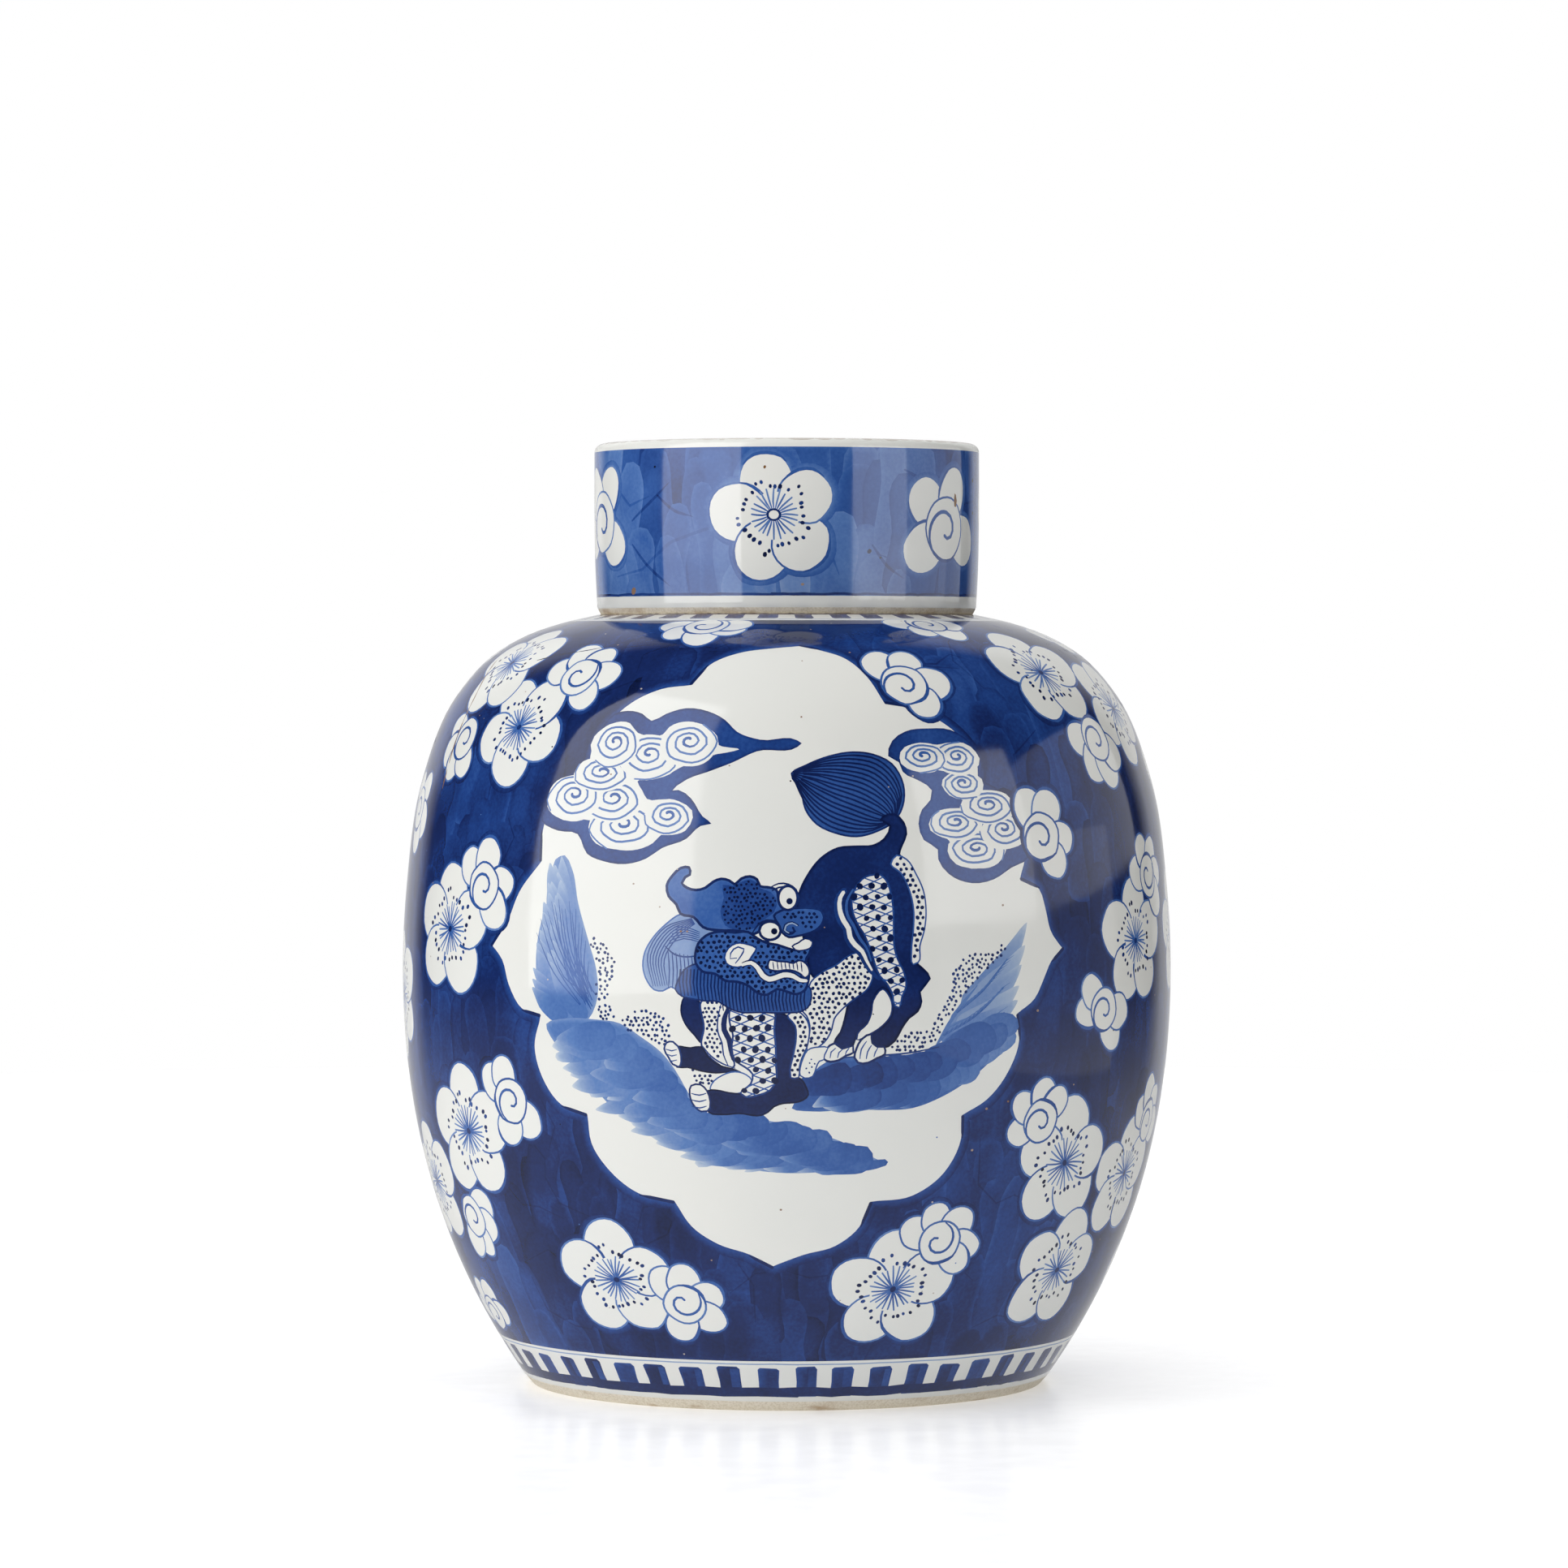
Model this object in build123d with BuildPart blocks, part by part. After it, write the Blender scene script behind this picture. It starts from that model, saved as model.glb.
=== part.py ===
"""Ginger jar: a thick-walled porcelain jar with a short plain neck, and the cap lid that drops over the neck.

Millimetres, +Z up. The origin is the centre of the foot ring's resting face, on the axis of both pieces.
Each piece is one firing of clay: the jar is thrown with its neck and foot ring, the lid is a separate cap.
"""

import os

from build123d import *

os.makedirs("parts", exist_ok=True)

# ---- driving dimensions -------------------------------------------------------------------------
total_height = 305.0  # floor to the top of the closed lid
belly_radius = 125.0
belly_height = 131.0  # level of the widest ring
wall = 6.0

# Foot ring and base
foot_radius = 83.0  # outer edge of the resting face
foot_width = 7.0  # width of the bare resting face
foot_bevel_radius = 85.8  # where the glaze stops above the bare foot
foot_bevel_height = 3.2
base_recess = 9.0  # height of the recessed base inside the foot ring
base_recess_radius = 73.0
base_thickness = 7.0
corner_radius = 3.0  # soft inside corners, left by a wet sponge

# Seat, neck and mouth
seat_height = 249.5  # flat bare ring that carries the lid
seat_radius = 61.5
neck_radius = 52.5
neck_top = 289.0
mouth_radius = neck_radius - wall
lip_radius = 2.4  # rounding of both edges of the mouth rim

# Lid
lid_radius = 62.6
lid_skirt_radius = 61.7  # the skirt draws in a little towards its edge
lid_chamfer = 1.2  # bare, bevelled edge of the skirt
lid_edge_radius = 2.8  # rounding between the side and the flat top
lid_inner_radius = 55.8
lid_top_thickness = 5.5
lid_inner_corner = 7.0

# Outer outline from the bevel of the foot up to the seat, as (radius, height)
outer_outline = [
    (foot_bevel_radius, foot_bevel_height),
    (91.6, 12.0),
    (101.8, 30.0),
    (114.1, 60.0),
    (122.6, 98.0),
    (belly_radius, belly_height),
    (123.7, 162.0),
    (118.6, 196.0),
    (107.6, 223.0),
    (96.1, 236.0),
    (84.1, 243.0),
    (73.2, 246.8),
    (seat_radius, seat_height),
]

# Inner outline from the floor of the jar up to the root of the neck, as (radius, height)
floor_height = base_recess + base_thickness
floor_radius = 70.0
inner_outline = [
    (floor_radius, floor_height),
    (87.0, 20.0),
    (98.0, 37.0),
    (108.6, 62.0),
    (belly_radius - wall - 2.0, 98.0),
    (belly_radius - wall, belly_height),
    (belly_radius - wall - 1.4, 162.0),
    (112.0, 195.0),
    (101.0, 219.0),
    (88.0, 232.0),
    (72.0, 239.6),
    (56.0, 242.8),
]

# ---- jar body: belly, shoulder, neck and foot ring in one piece ---------------------------------
with BuildPart() as jar_body:
    with BuildSketch(Plane.XZ):
        with BuildLine():
            outer = Spline(*outer_outline)
            seat = Line(outer @ 1, (neck_radius, seat_height))
            neck_side = Line(seat @ 1, (neck_radius, neck_top - lip_radius))
            outer_lip = RadiusArc(neck_side @ 1, (neck_radius - lip_radius, neck_top), -lip_radius)
            rim = Line(outer_lip @ 1, (mouth_radius + lip_radius, neck_top))
            inner_lip = RadiusArc(rim @ 1, (mouth_radius, neck_top - lip_radius), -lip_radius)
            mouth_side = Line(inner_lip @ 1, (mouth_radius, seat_height))
            neck_root = Spline(
                mouth_side @ 1,
                inner_outline[-1],
                tangents=[(0, -1), (1, -0.18)],
            )
            inner = Spline(*reversed(inner_outline))
            floor = Line(inner @ 1, (0, floor_height))
            axis_line = Line(floor @ 1, (0, base_recess))
            base = Line(axis_line @ 1, (base_recess_radius, base_recess))
            foot_inside = Line(base @ 1, (foot_radius - foot_width, 0))
            foot_face = Line(foot_inside @ 1, (foot_radius, 0))
            foot_bevel = Line(foot_face @ 1, outer @ 0)
        make_face()
    revolve(axis=Axis.Z)
    recess_corner = jar_body.edges().filter_by(GeomType.CIRCLE).filter_by(
        lambda edge: abs(edge.radius - base_recess_radius) < 0.1 and edge.center().Z < floor_height
    )
    fillet(recess_corner, radius=corner_radius)

jar_body.part.label = "jar_body"
export_step(jar_body.part, "parts/jar_body.step")

# ---- lid: plain cylindrical cap -----------------------------------------------------------------
with BuildPart() as lid:
    with BuildSketch(Plane.XZ):
        with BuildLine():
            top = Line((0, total_height), (lid_radius - lid_edge_radius, total_height))
            top_edge = RadiusArc(
                top @ 1, (lid_radius, total_height - lid_edge_radius), lid_edge_radius
            )
            side = Spline(
                top_edge @ 1,
                (lid_skirt_radius, seat_height + 2 * lid_chamfer),
                tangents=[(0, -1), (-0.06, -1)],
            )
            skirt_bevel = Line(side @ 1, (lid_skirt_radius - lid_chamfer, seat_height))
            skirt_face = Line(skirt_bevel @ 1, (lid_inner_radius, seat_height))
            inside = Line(
                skirt_face @ 1,
                (lid_inner_radius, total_height - lid_top_thickness - lid_inner_corner),
            )
            inside_corner = RadiusArc(
                inside @ 1,
                (lid_inner_radius - lid_inner_corner, total_height - lid_top_thickness),
                -lid_inner_corner,
            )
            ceiling = Line(inside_corner @ 1, (0, total_height - lid_top_thickness))
            lid_axis = Line(ceiling @ 1, top @ 0)
        make_face()
    revolve(axis=Axis.Z)

lid.part.label = "lid"
export_step(lid.part, "parts/lid.step")
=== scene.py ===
"""Blue and white ginger jar: porcelain painted in cobalt under the glaze, on a pale glossy floor.

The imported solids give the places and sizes. Each is stood for by a closed mesh of the same shape, and the
painting is cut into that mesh: every brush mark is a polygon laid on the unrolled wall, all the marks are
triangulated together with the wall, and each face corner is given the cobalt that lies on it. The glaze
material turns cobalt into colour.

Unrolled coordinates are millimetres: x runs round the wall at its widest, s runs up along the wall.
"""
import math
import random

import bpy
import numpy as np
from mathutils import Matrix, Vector, kdtree
from mathutils.geometry import delaunay_2d_cdt


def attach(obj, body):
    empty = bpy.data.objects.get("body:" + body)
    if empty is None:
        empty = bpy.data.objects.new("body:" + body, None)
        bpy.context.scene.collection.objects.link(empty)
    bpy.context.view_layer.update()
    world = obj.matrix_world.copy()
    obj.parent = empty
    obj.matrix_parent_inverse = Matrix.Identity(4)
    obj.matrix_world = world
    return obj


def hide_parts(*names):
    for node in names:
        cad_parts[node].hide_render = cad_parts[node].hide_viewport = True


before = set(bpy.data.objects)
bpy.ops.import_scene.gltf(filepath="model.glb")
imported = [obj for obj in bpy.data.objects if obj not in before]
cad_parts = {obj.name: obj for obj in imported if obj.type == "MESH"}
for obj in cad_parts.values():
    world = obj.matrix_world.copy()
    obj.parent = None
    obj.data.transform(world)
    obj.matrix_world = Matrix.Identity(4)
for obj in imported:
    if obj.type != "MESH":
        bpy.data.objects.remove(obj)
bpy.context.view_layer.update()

MM = 0.001
FULL_TURN = 2 * math.pi


# ---- curves -------------------------------------------------------------------------------------

def smooth(points, step=1.0, closed=False):
    """A curve through the points, with a point about every `step` millimetres."""
    p = np.asarray(points, float)
    if closed:
        p = np.vstack([p[-1], p, p[0], p[1]])
    else:
        p = np.vstack([2 * p[0] - p[1], p, 2 * p[-1] - p[-2]])
    out = []
    for p0, p1, p2, p3 in zip(p, p[1:], p[2:], p[3:]):
        d0, d1, d2 = (max(float(np.hypot(*(b - a))), 1e-6) for a, b in ((p0, p1), (p1, p2), (p2, p3)))
        v0, v1, v2 = (p1 - p0) / d0, (p2 - p1) / d1, (p3 - p2) / d2
        m1 = (v0 * d1 + v1 * d0) / (d0 + d1) * d1
        m2 = (v1 * d2 + v2 * d1) / (d1 + d2) * d1
        n = max(1, int(round(d1 / step)))
        t = (np.arange(n) / n)[:, None]
        out.append((2 * t**3 - 3 * t**2 + 1) * p1 + (t**3 - 2 * t**2 + t) * m1
                   + (3 * t**2 - 2 * t**3) * p2 + (t**3 - t**2) * m2)
    if not closed:
        out.append(p[-2:-1])
    return np.vstack(out)


def stepped(points, step):
    """A polyline with straight runs cut into pieces no longer than step."""
    out = [np.asarray(points[0], float)]
    for a, b in zip(points, points[1:]):
        a, b = np.asarray(a, float), np.asarray(b, float)
        n = max(1, math.ceil(float(np.hypot(*(b - a))) / step))
        out += [a + (b - a) * (i + 1) / n for i in range(n)]
    return np.array(out)


def rounded(points, radii, segments=4):
    """A polyline whose corners are arcs; a radius of 0 leaves the point as it is."""
    out = [np.asarray(points[0], float)]
    for a, b, c, radius in zip(points, points[1:], points[2:], radii):
        a, b, c = (np.asarray(v, float) for v in (a, b, c))
        if radius == 0:
            out.append(b)
            continue
        u, w = (a - b) / np.hypot(*(a - b)), (c - b) / np.hypot(*(c - b))
        half = math.acos(max(-1.0, min(1.0, float(u @ w)))) / 2
        reach = radius / math.tan(half)
        centre = b + (u + w) / np.hypot(*(u + w)) * radius / math.sin(half)
        start, end = b + u * reach - centre, b + w * reach - centre
        turn = math.atan2(start[0] * end[1] - start[1] * end[0], float(start @ end))
        for i in range(segments + 1):
            t = turn * i / segments
            out.append(centre + [start[0] * math.cos(t) - start[1] * math.sin(t),
                                 start[0] * math.sin(t) + start[1] * math.cos(t)])
    out.append(np.asarray(points[-1], float))
    return out


def loop_of(ring, extra=1):
    """A ring with its first points again at its end."""
    return np.vstack([ring, ring[:extra]])


def unit(angle):
    """The unit vector at an angle."""
    return np.array([math.cos(angle), math.sin(angle)])


def oval(angles, across, up):
    """Points of an ellipse about the origin."""
    return np.column_stack([np.cos(angles) * across, np.sin(angles) * up])


def left_of(d):
    """The unit vectors to the left of the directions d."""
    return np.column_stack([-d[:, 1], d[:, 0]]) / np.maximum(np.hypot(*d.T), 1e-9)[:, None]


class Wall:
    """The outline of a turned piece as (radius, height), and the unrolled sheet that it makes."""

    def __init__(self, outline, widest, zero, spacing):
        self.r, self.z = stepped(outline, spacing).T
        lengths = np.hypot(np.diff(self.r), np.diff(self.z))
        self.s = np.concatenate([[0], np.cumsum(lengths)])
        self.s -= self.place_of(*zero)
        along = np.stack([np.diff(self.r), np.diff(self.z)], 1) / lengths[:, None]
        between = along[:-1] * lengths[1:, None] + along[1:] * lengths[:-1, None]
        mean = np.vstack([along[:1], between, along[-1:]])
        mean /= np.hypot(*mean.T)[:, None]
        self.nr, self.nz = mean[:, 1], -mean[:, 0]
        self.widest = widest
        self.round = FULL_TURN * widest

    def place_of(self, radius, height):
        """How far along the wall its point nearest to (radius, height) lies."""
        return float(self.s[np.argmin(np.hypot(self.r - radius, self.z - height))])

    def radius(self, s):
        return np.interp(s, self.s, self.r)

    def solid(self, xs):
        """Places and normals of unrolled points. x = 0 faces the camera, along -Y."""
        angle = xs[:, 0] / self.widest
        r, z = np.interp(xs[:, 1], self.s, self.r), np.interp(xs[:, 1], self.s, self.z)
        nr, nz = np.interp(xs[:, 1], self.s, self.nr), np.interp(xs[:, 1], self.s, self.nz)
        out = np.stack([np.sin(angle), -np.cos(angle)], 1)
        return (np.column_stack([out * r[:, None], z]) * MM, np.column_stack([out * nr[:, None], nz]))


# ---- brush marks --------------------------------------------------------------------------------

TAPERED_SHARE = 0.3     # the share of a line's length over which each end tapers
END_BULGE = 0.8         # how far a line's round end stands out, in half widths


def inside(points, outline):
    """Which points lie in a closed outline, by winding number, so that an outline may cross itself."""
    x, y = points[:, :1], points[:, 1:2]
    ax, ay = outline.T
    bx, by = np.roll(outline, -1, 0).T
    side = (bx - ax) * (y - ay) - (x - ax) * (by - ay)
    up = (ay <= y) & (by > y) & (side > 0)
    down = (ay > y) & (by <= y) & (side < 0)
    return up.sum(1) != down.sum(1)


def distance(points, line):
    """Each point's distance from a polyline, and how far along it the nearest place lies, 0 to 1."""
    a, d = line[:-1], np.diff(line, axis=0)
    length2 = np.maximum((d * d).sum(1), 1e-12)
    rel = points[:, None] - a
    t = np.clip((rel * d).sum(2) / length2, 0, 1)
    gap = np.hypot(*np.moveaxis(rel - t[..., None] * d, 2, 0))
    best = gap.argmin(1)
    rows = np.arange(len(points))
    return gap[rows, best], (best + t[rows, best]) / len(d)


class Painting:
    """Marks in paint order on one unrolled wall. Sizes are true millimetres on the surface."""

    def __init__(self, wall):
        self.wall = wall
        self.marks = []         # each an outline, its tone, its shade and whether it covers what is below
        self.guides = []        # open lines that only add points, where a shade needs them
        self.ground = 0.0       # the ground's tone, which halos take
        self.beneath = 0        # the place among the marks where the next halo goes in

    def spread(self, xs):
        """How far apart x has to be drawn for one true millimetre round the wall."""
        return self.wall.widest / np.maximum(self.wall.radius(xs[:, 1]), 1.0)

    def local(self, centre, turn=0.0, size=1.0):
        """A function that lays a small drawing in true millimetres at a place on the wall."""
        c, s = math.cos(math.radians(turn)), math.sin(math.radians(turn))

        def lay(points):
            p = np.atleast_2d(np.asarray(points, float)) * size @ np.array([[c, s], [-s, c]])
            p[:, 1] += centre[1]
            p[:, 0] = centre[0] + p[:, 0] * self.spread(p)
            return p
        return lay

    def fill(self, outline, tone, shade=None, over=True):
        """Paints an outline. shade scales the tone at each point; over=False adds to what lies below."""
        self.marks.append((np.asarray(outline, float), tone, shade, over))

    def begin_flowers(self):
        """From here on, halos go in beneath all the flowers, so that neighbours touch."""
        self.beneath = len(self.marks)

    def band(self, low, high, tone):
        """Paints a belt all the way round."""
        start, end = -0.3 * self.wall.round, 0.8 * self.wall.round      # past both sides of the sheet
        ends = [(start, low), (end, low), (end, high), (start, high)]
        self.fill(stepped(ends, 4.0), tone)

    def seamed(self, outline, tone, seam=0.8, width=1.1):
        """A fill that is lighter in a narrow seam along its edge, as where two wet strokes met."""
        outline = np.asarray(outline, float)
        true = np.array([1 / float(self.spread(outline.mean(0)[None])[0]), 1])
        flat = loop_of(outline) * true

        def shade(points):
            gap, _ = distance(points * true, flat)
            return seam + (1 - seam) * np.clip(gap / width, 0, 1)
        inner = inset(flat, width)
        if len(inner) > 3:
            self.guides.append(inner / true)
        self.fill(outline, tone, shade)

    def line(self, points, width, tone, taper=(1.0, 1.0), over=True, shade=None):
        """A brush line along the points. taper is its width at each end, as a share of the full width."""
        p = np.asarray(points, float)
        k = self.spread(p)
        across = np.column_stack([k, np.ones(len(p))])
        true = p / across
        true[:, 0] = np.concatenate([[0], np.cumsum(np.diff(p[:, 0]) / ((k[1:] + k[:-1]) / 2))])
        d = np.gradient(true, axis=0)
        d = d / np.maximum(np.hypot(*d.T), 1e-9)[:, None]
        t = np.linspace(0, 1, len(p))
        near, far = np.clip(t / TAPERED_SHARE, 0, 1), np.clip((1 - t) / TAPERED_SHARE, 0, 1)
        half = width / 2 * (taper[0] + (1 - taper[0]) * near) * (taper[1] + (1 - taper[1]) * far)
        off = np.column_stack([-d[:, 1], d[:, 0]]) * half[:, None] * across
        ends = d * half[:, None] * across * END_BULGE
        tip, tail = p[-1:] + ends[-1:], p[:1] - ends[:1]
        self.fill(np.vstack([tail, p + off, tip, (p - off)[::-1]]), tone, shade, over)

    def hoop(self, s, sway, count, width, tone, rng, past=5):
        """A line all the way round that strays by up to sway, and ends past its own start."""
        xs = np.linspace(-5, self.wall.round + past, count)
        self.line(np.column_stack([xs, [s + rng.uniform(-sway, sway) for _ in xs]]), width, tone)

    def dot(self, place, size, tone, turn=0.0, length=1.0, corners=7):
        """A touch of the brush: a small polygon, drawn out to length times its width along turn."""
        a = np.arange(corners) * FULL_TURN / corners
        lay = self.local(place, turn)
        self.fill(lay(oval(a, length, 1) * size / 2), tone)


def inset(ring, width):
    """A closed ring moved inwards, without the points that come too near to another side."""
    p = ring[:-1]
    d = np.roll(p, -1, 0) - np.roll(p, 1, 0)
    area = float((p[:, 0] * np.roll(p[:, 1], -1) - p[:, 1] * np.roll(p[:, 0], -1)).sum())
    moved = p + left_of(d) * width * (1 if area > 0 else -1)
    gap, _ = distance(moved, ring)
    return moved[gap > 0.9 * width]


# ---- from marks to a mesh -----------------------------------------------------------------------

SAME_POINT = 2e-3       # outlines' points nearer than this become one, in millimetres
AT_SEAM = 0.02          # points nearer than this to the sheet's side or to the axis lie on it
BELT = 1.05             # a mark wider than this many turns is a belt, and needs no copy at the next turn
WELD, LEVEL = 2e-6, 1e-7    # how near welded points lie, and how near a rim's points to one height, in metres
WASH_SHADOW = 0.35      # how much less a wash adds where the cobalt is already at its full tone


def cut(domain_points, domain_edges, marks, guides):
    """One triangulation of a domain's own points with every mark's outline and every guide line."""
    coords = [domain_points]
    edges = [domain_edges]
    count = len(domain_points)
    for ring, closed in [(m[0], True) for m in marks] + [(g, False) for g in guides]:
        n = len(ring)
        i = np.arange(n if closed else n - 1)
        coords.append(ring)
        edges.append(np.column_stack([i, (i + 1) % n]) + count)
        count += n
    coords, edges = np.vstack(coords), np.vstack(edges)
    vectors = [Vector(c) for c in coords.tolist()]
    verts, _, faces, *_ = delaunay_2d_cdt(vectors, edges.tolist(), [], 0, SAME_POINT)
    return np.array([v[:] for v in verts]), np.array(faces)


def lay_ink(points, faces, marks):
    """The cobalt at each face corner: that of the last solid mark that holds the face, and washes over it."""
    corners = points[faces]
    middle = corners.mean(1)
    ink = np.zeros(faces.shape)
    bare = np.ones(len(faces), bool)
    order = np.argsort(middle[:, 0], kind="stable")
    along = middle[order, 0]
    washes = []
    for outline, tone, shade, over in reversed(marks):
        low, high = outline.min(0), outline.max(0)
        near = order[np.searchsorted(along, low[0]):np.searchsorted(along, high[0])]
        near = near[bare[near] & (middle[near, 1] > low[1]) & (middle[near, 1] < high[1])]
        held = near[inside(middle[near], outline)]
        value = np.full((len(held), 3), float(tone))
        if shade is not None and len(held):
            value *= shade(corners[held].reshape(-1, 2)).reshape(-1, 3)
        if over:
            ink[held] = value
            bare[held] = False
        else:
            washes.append((held, value))
    for held, value in reversed(washes):
        ink[held] += value * (1 - WASH_SHADOW * ink[held])
    return ink


def used_only(points, faces):
    """Drops the points that no face uses."""
    used = np.unique(faces)
    number = np.full(len(points), -1)
    number[used] = np.arange(len(used))
    return points[used], number[faces]


def unroll(wall, columns, painting):
    """The wall as a closed mesh, with its painting cut into it: places, normals, faces, s and ink."""
    left = -wall.round / 4
    xs = left + wall.round * np.arange(columns + 1) / columns
    grid = np.column_stack([np.tile(xs, len(wall.s)), np.repeat(wall.s, columns + 1)])
    rows = np.arange(len(wall.s)) * (columns + 1)
    run = np.arange(columns)
    edges = [np.column_stack([start + run, start + run + 1]) for start in (rows[0], rows[-1])]
    edges += [np.column_stack([rows[:-1] + c, rows[1:] + c]) for c in (0, columns)]
    marks, guides = [], []
    for outline, tone, shade, over in painting.marks:
        belt = np.ptp(outline[:, 0]) > BELT * wall.round
        for shift in (0,) if belt else (0, wall.round, -wall.round):
            moved = outline + [shift, 0]
            if moved[:, 0].max() > left and moved[:, 0].min() < left + wall.round:
                back = None if shade is None else (lambda p, f=shade, d=shift: f(p - [d, 0]))
                marks.append((moved, tone, back, over))
    for guide in painting.guides:
        for shift in (0, wall.round, -wall.round):
            if guide[:, 0].max() + shift > left and guide[:, 0].min() + shift < left + wall.round:
                guides.append(guide + [shift, 0])
    points, faces = cut(grid, np.vstack(edges), marks, guides)
    middle = points[faces].mean(1)
    held = (np.abs(middle[:, 0] - left - wall.round / 2) < wall.round / 2)
    held &= (middle[:, 1] > wall.s[0]) & (middle[:, 1] < wall.s[-1])
    points, faces = used_only(points, faces[held])
    ink = lay_ink(points, faces, marks)
    height = points[faces].mean(1)[:, 1]
    number = np.arange(len(points))
    lefts = np.flatnonzero(np.abs(points[:, 0] - left) < AT_SEAM)
    lefts = lefts[np.argsort(points[lefts, 1])]
    for i in np.flatnonzero(np.abs(points[:, 0] - left - wall.round) < AT_SEAM):
        j = lefts[np.abs(points[lefts, 1] - points[i, 1]).argmin()]
        if abs(points[j, 1] - points[i, 1]) < AT_SEAM:
            number[i] = j
    for end in (0, -1):
        if wall.r[end] < AT_SEAM:
            pole = np.flatnonzero(np.abs(points[:, 1] - wall.s[end]) < AT_SEAM)
            number[pole] = pole[0]
    faces = number[faces]
    whole = (faces[:, 0] != faces[:, 1]) & (faces[:, 1] != faces[:, 2]) & (faces[:, 2] != faces[:, 0])
    points, faces = used_only(points, faces[whole])
    places, normals = wall.solid(points)
    return places, normals, faces, ink[whole], height[whole]


def disc(radius, height, columns, painting, spacing):
    """A flat disc seen from above, with a painting in plain x and y, in the same form as unroll gives."""
    angle = FULL_TURN * np.arange(columns) / columns - math.pi
    rim = np.column_stack([np.sin(angle), -np.cos(angle)]) * radius
    rings = [rim]
    for i in range(1, int(radius / spacing)):
        n = max(6, int(FULL_TURN * (radius - i * spacing) / spacing))
        a = FULL_TURN * np.arange(n) / n
        rings.append(oval(a, radius - i * spacing, radius - i * spacing))
    run = np.arange(columns)
    points, faces = cut(np.vstack(rings), np.column_stack([run, (run + 1) % columns]), painting.marks,
                        painting.guides)
    held = np.hypot(*points[faces].mean(1).T) < radius * math.cos(math.pi / columns)
    points, faces = used_only(points, faces[held])
    ink = lay_ink(points, faces, painting.marks)
    places = np.column_stack([points, np.full(len(points), height)]) * MM
    normals = np.tile([0.0, 0.0, 1.0], (len(points), 1))
    return places, normals, faces, ink, np.full(len(faces), math.inf)


def joined(parts):
    """Several meshes in one, with the points that they share welded."""
    places = np.vstack([p[0] for p in parts])
    normals = np.vstack([p[1] for p in parts])
    faces, start = [], 0
    for p in parts:
        faces.append(p[2] + start)
        start += len(p[0])
    faces = np.vstack(faces)
    first = len(parts[0][0])
    tree = kdtree.KDTree(len(places) - first)
    for i in range(first, len(places)):
        tree.insert(places[i], i)
    tree.balance()
    number = np.arange(len(places))
    rim = np.flatnonzero(np.abs(places[:first, 2] - places[first:, 2].max()) < LEVEL)
    for i in rim:
        _, j, gap = tree.find(places[i])
        if gap < WELD:
            number[j] = i
            normals[i] = (0, 0, 1)
    faces = number[faces]
    both, faces = used_only(np.hstack([places, normals]), faces)
    return (both[:, :3], both[:, 3:], faces, np.vstack([p[3] for p in parts]),
            np.concatenate([p[4] for p in parts]))


def make_mesh(name, mesh_parts, materials, material_of):
    """A Blender object from the arrays, with the ink as a face corner attribute and true normals."""
    places, normals, faces, ink, height = mesh_parts
    mesh = bpy.data.meshes.new(name)
    mesh.vertices.add(len(places))
    mesh.vertices.foreach_set("co", places.ravel())
    mesh.loops.add(faces.size)
    mesh.loops.foreach_set("vertex_index", faces.ravel().astype(np.int32))
    mesh.polygons.add(len(faces))
    mesh.polygons.foreach_set("loop_start", np.arange(len(faces), dtype=np.int32) * 3)
    for material in materials:
        mesh.materials.append(material)
    mesh.polygons.foreach_set("material_index", material_of(height).astype(np.int32))
    mesh.update(calc_edges=True)
    mesh.attributes.new("cobalt", "FLOAT", "CORNER").data.foreach_set("value", ink.ravel())
    mesh.shade_smooth()
    mesh.normals_split_custom_set_from_vertices(normals / np.linalg.norm(normals, axis=1)[:, None])
    mesh.validate()
    piece = bpy.data.objects.new(name, mesh)
    bpy.context.scene.collection.objects.link(piece)
    return piece


# ---- the two pieces' outlines, in millimetres, as (radius, height) --------------------------------

TOTAL_HEIGHT = 305.0
BELLY = 125.0
FOOT, FOOT_INSIDE, RECESS = 83.0, 76.0, 9.0
SEAT_HEIGHT, SEAT_RADIUS = 249.5, 61.5
NECK, NECK_TOP, MOUTH, LIP = 52.5, 289.0, 46.5, 2.4
FLOOR = 16.0
GLAZE_LINE = (85.8, 3.2)
LID, LID_EDGE, LID_SKIRT, LID_INNER, LID_CHAMFER = 62.6, 2.8, 61.7, 55.8, 1.2
LID_CEILING, LID_INNER_CORNER = 299.5, 7.0
BARE_EDGE = 2.2         # how far the bare clay comes up the lid's outside, along the wall

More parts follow.
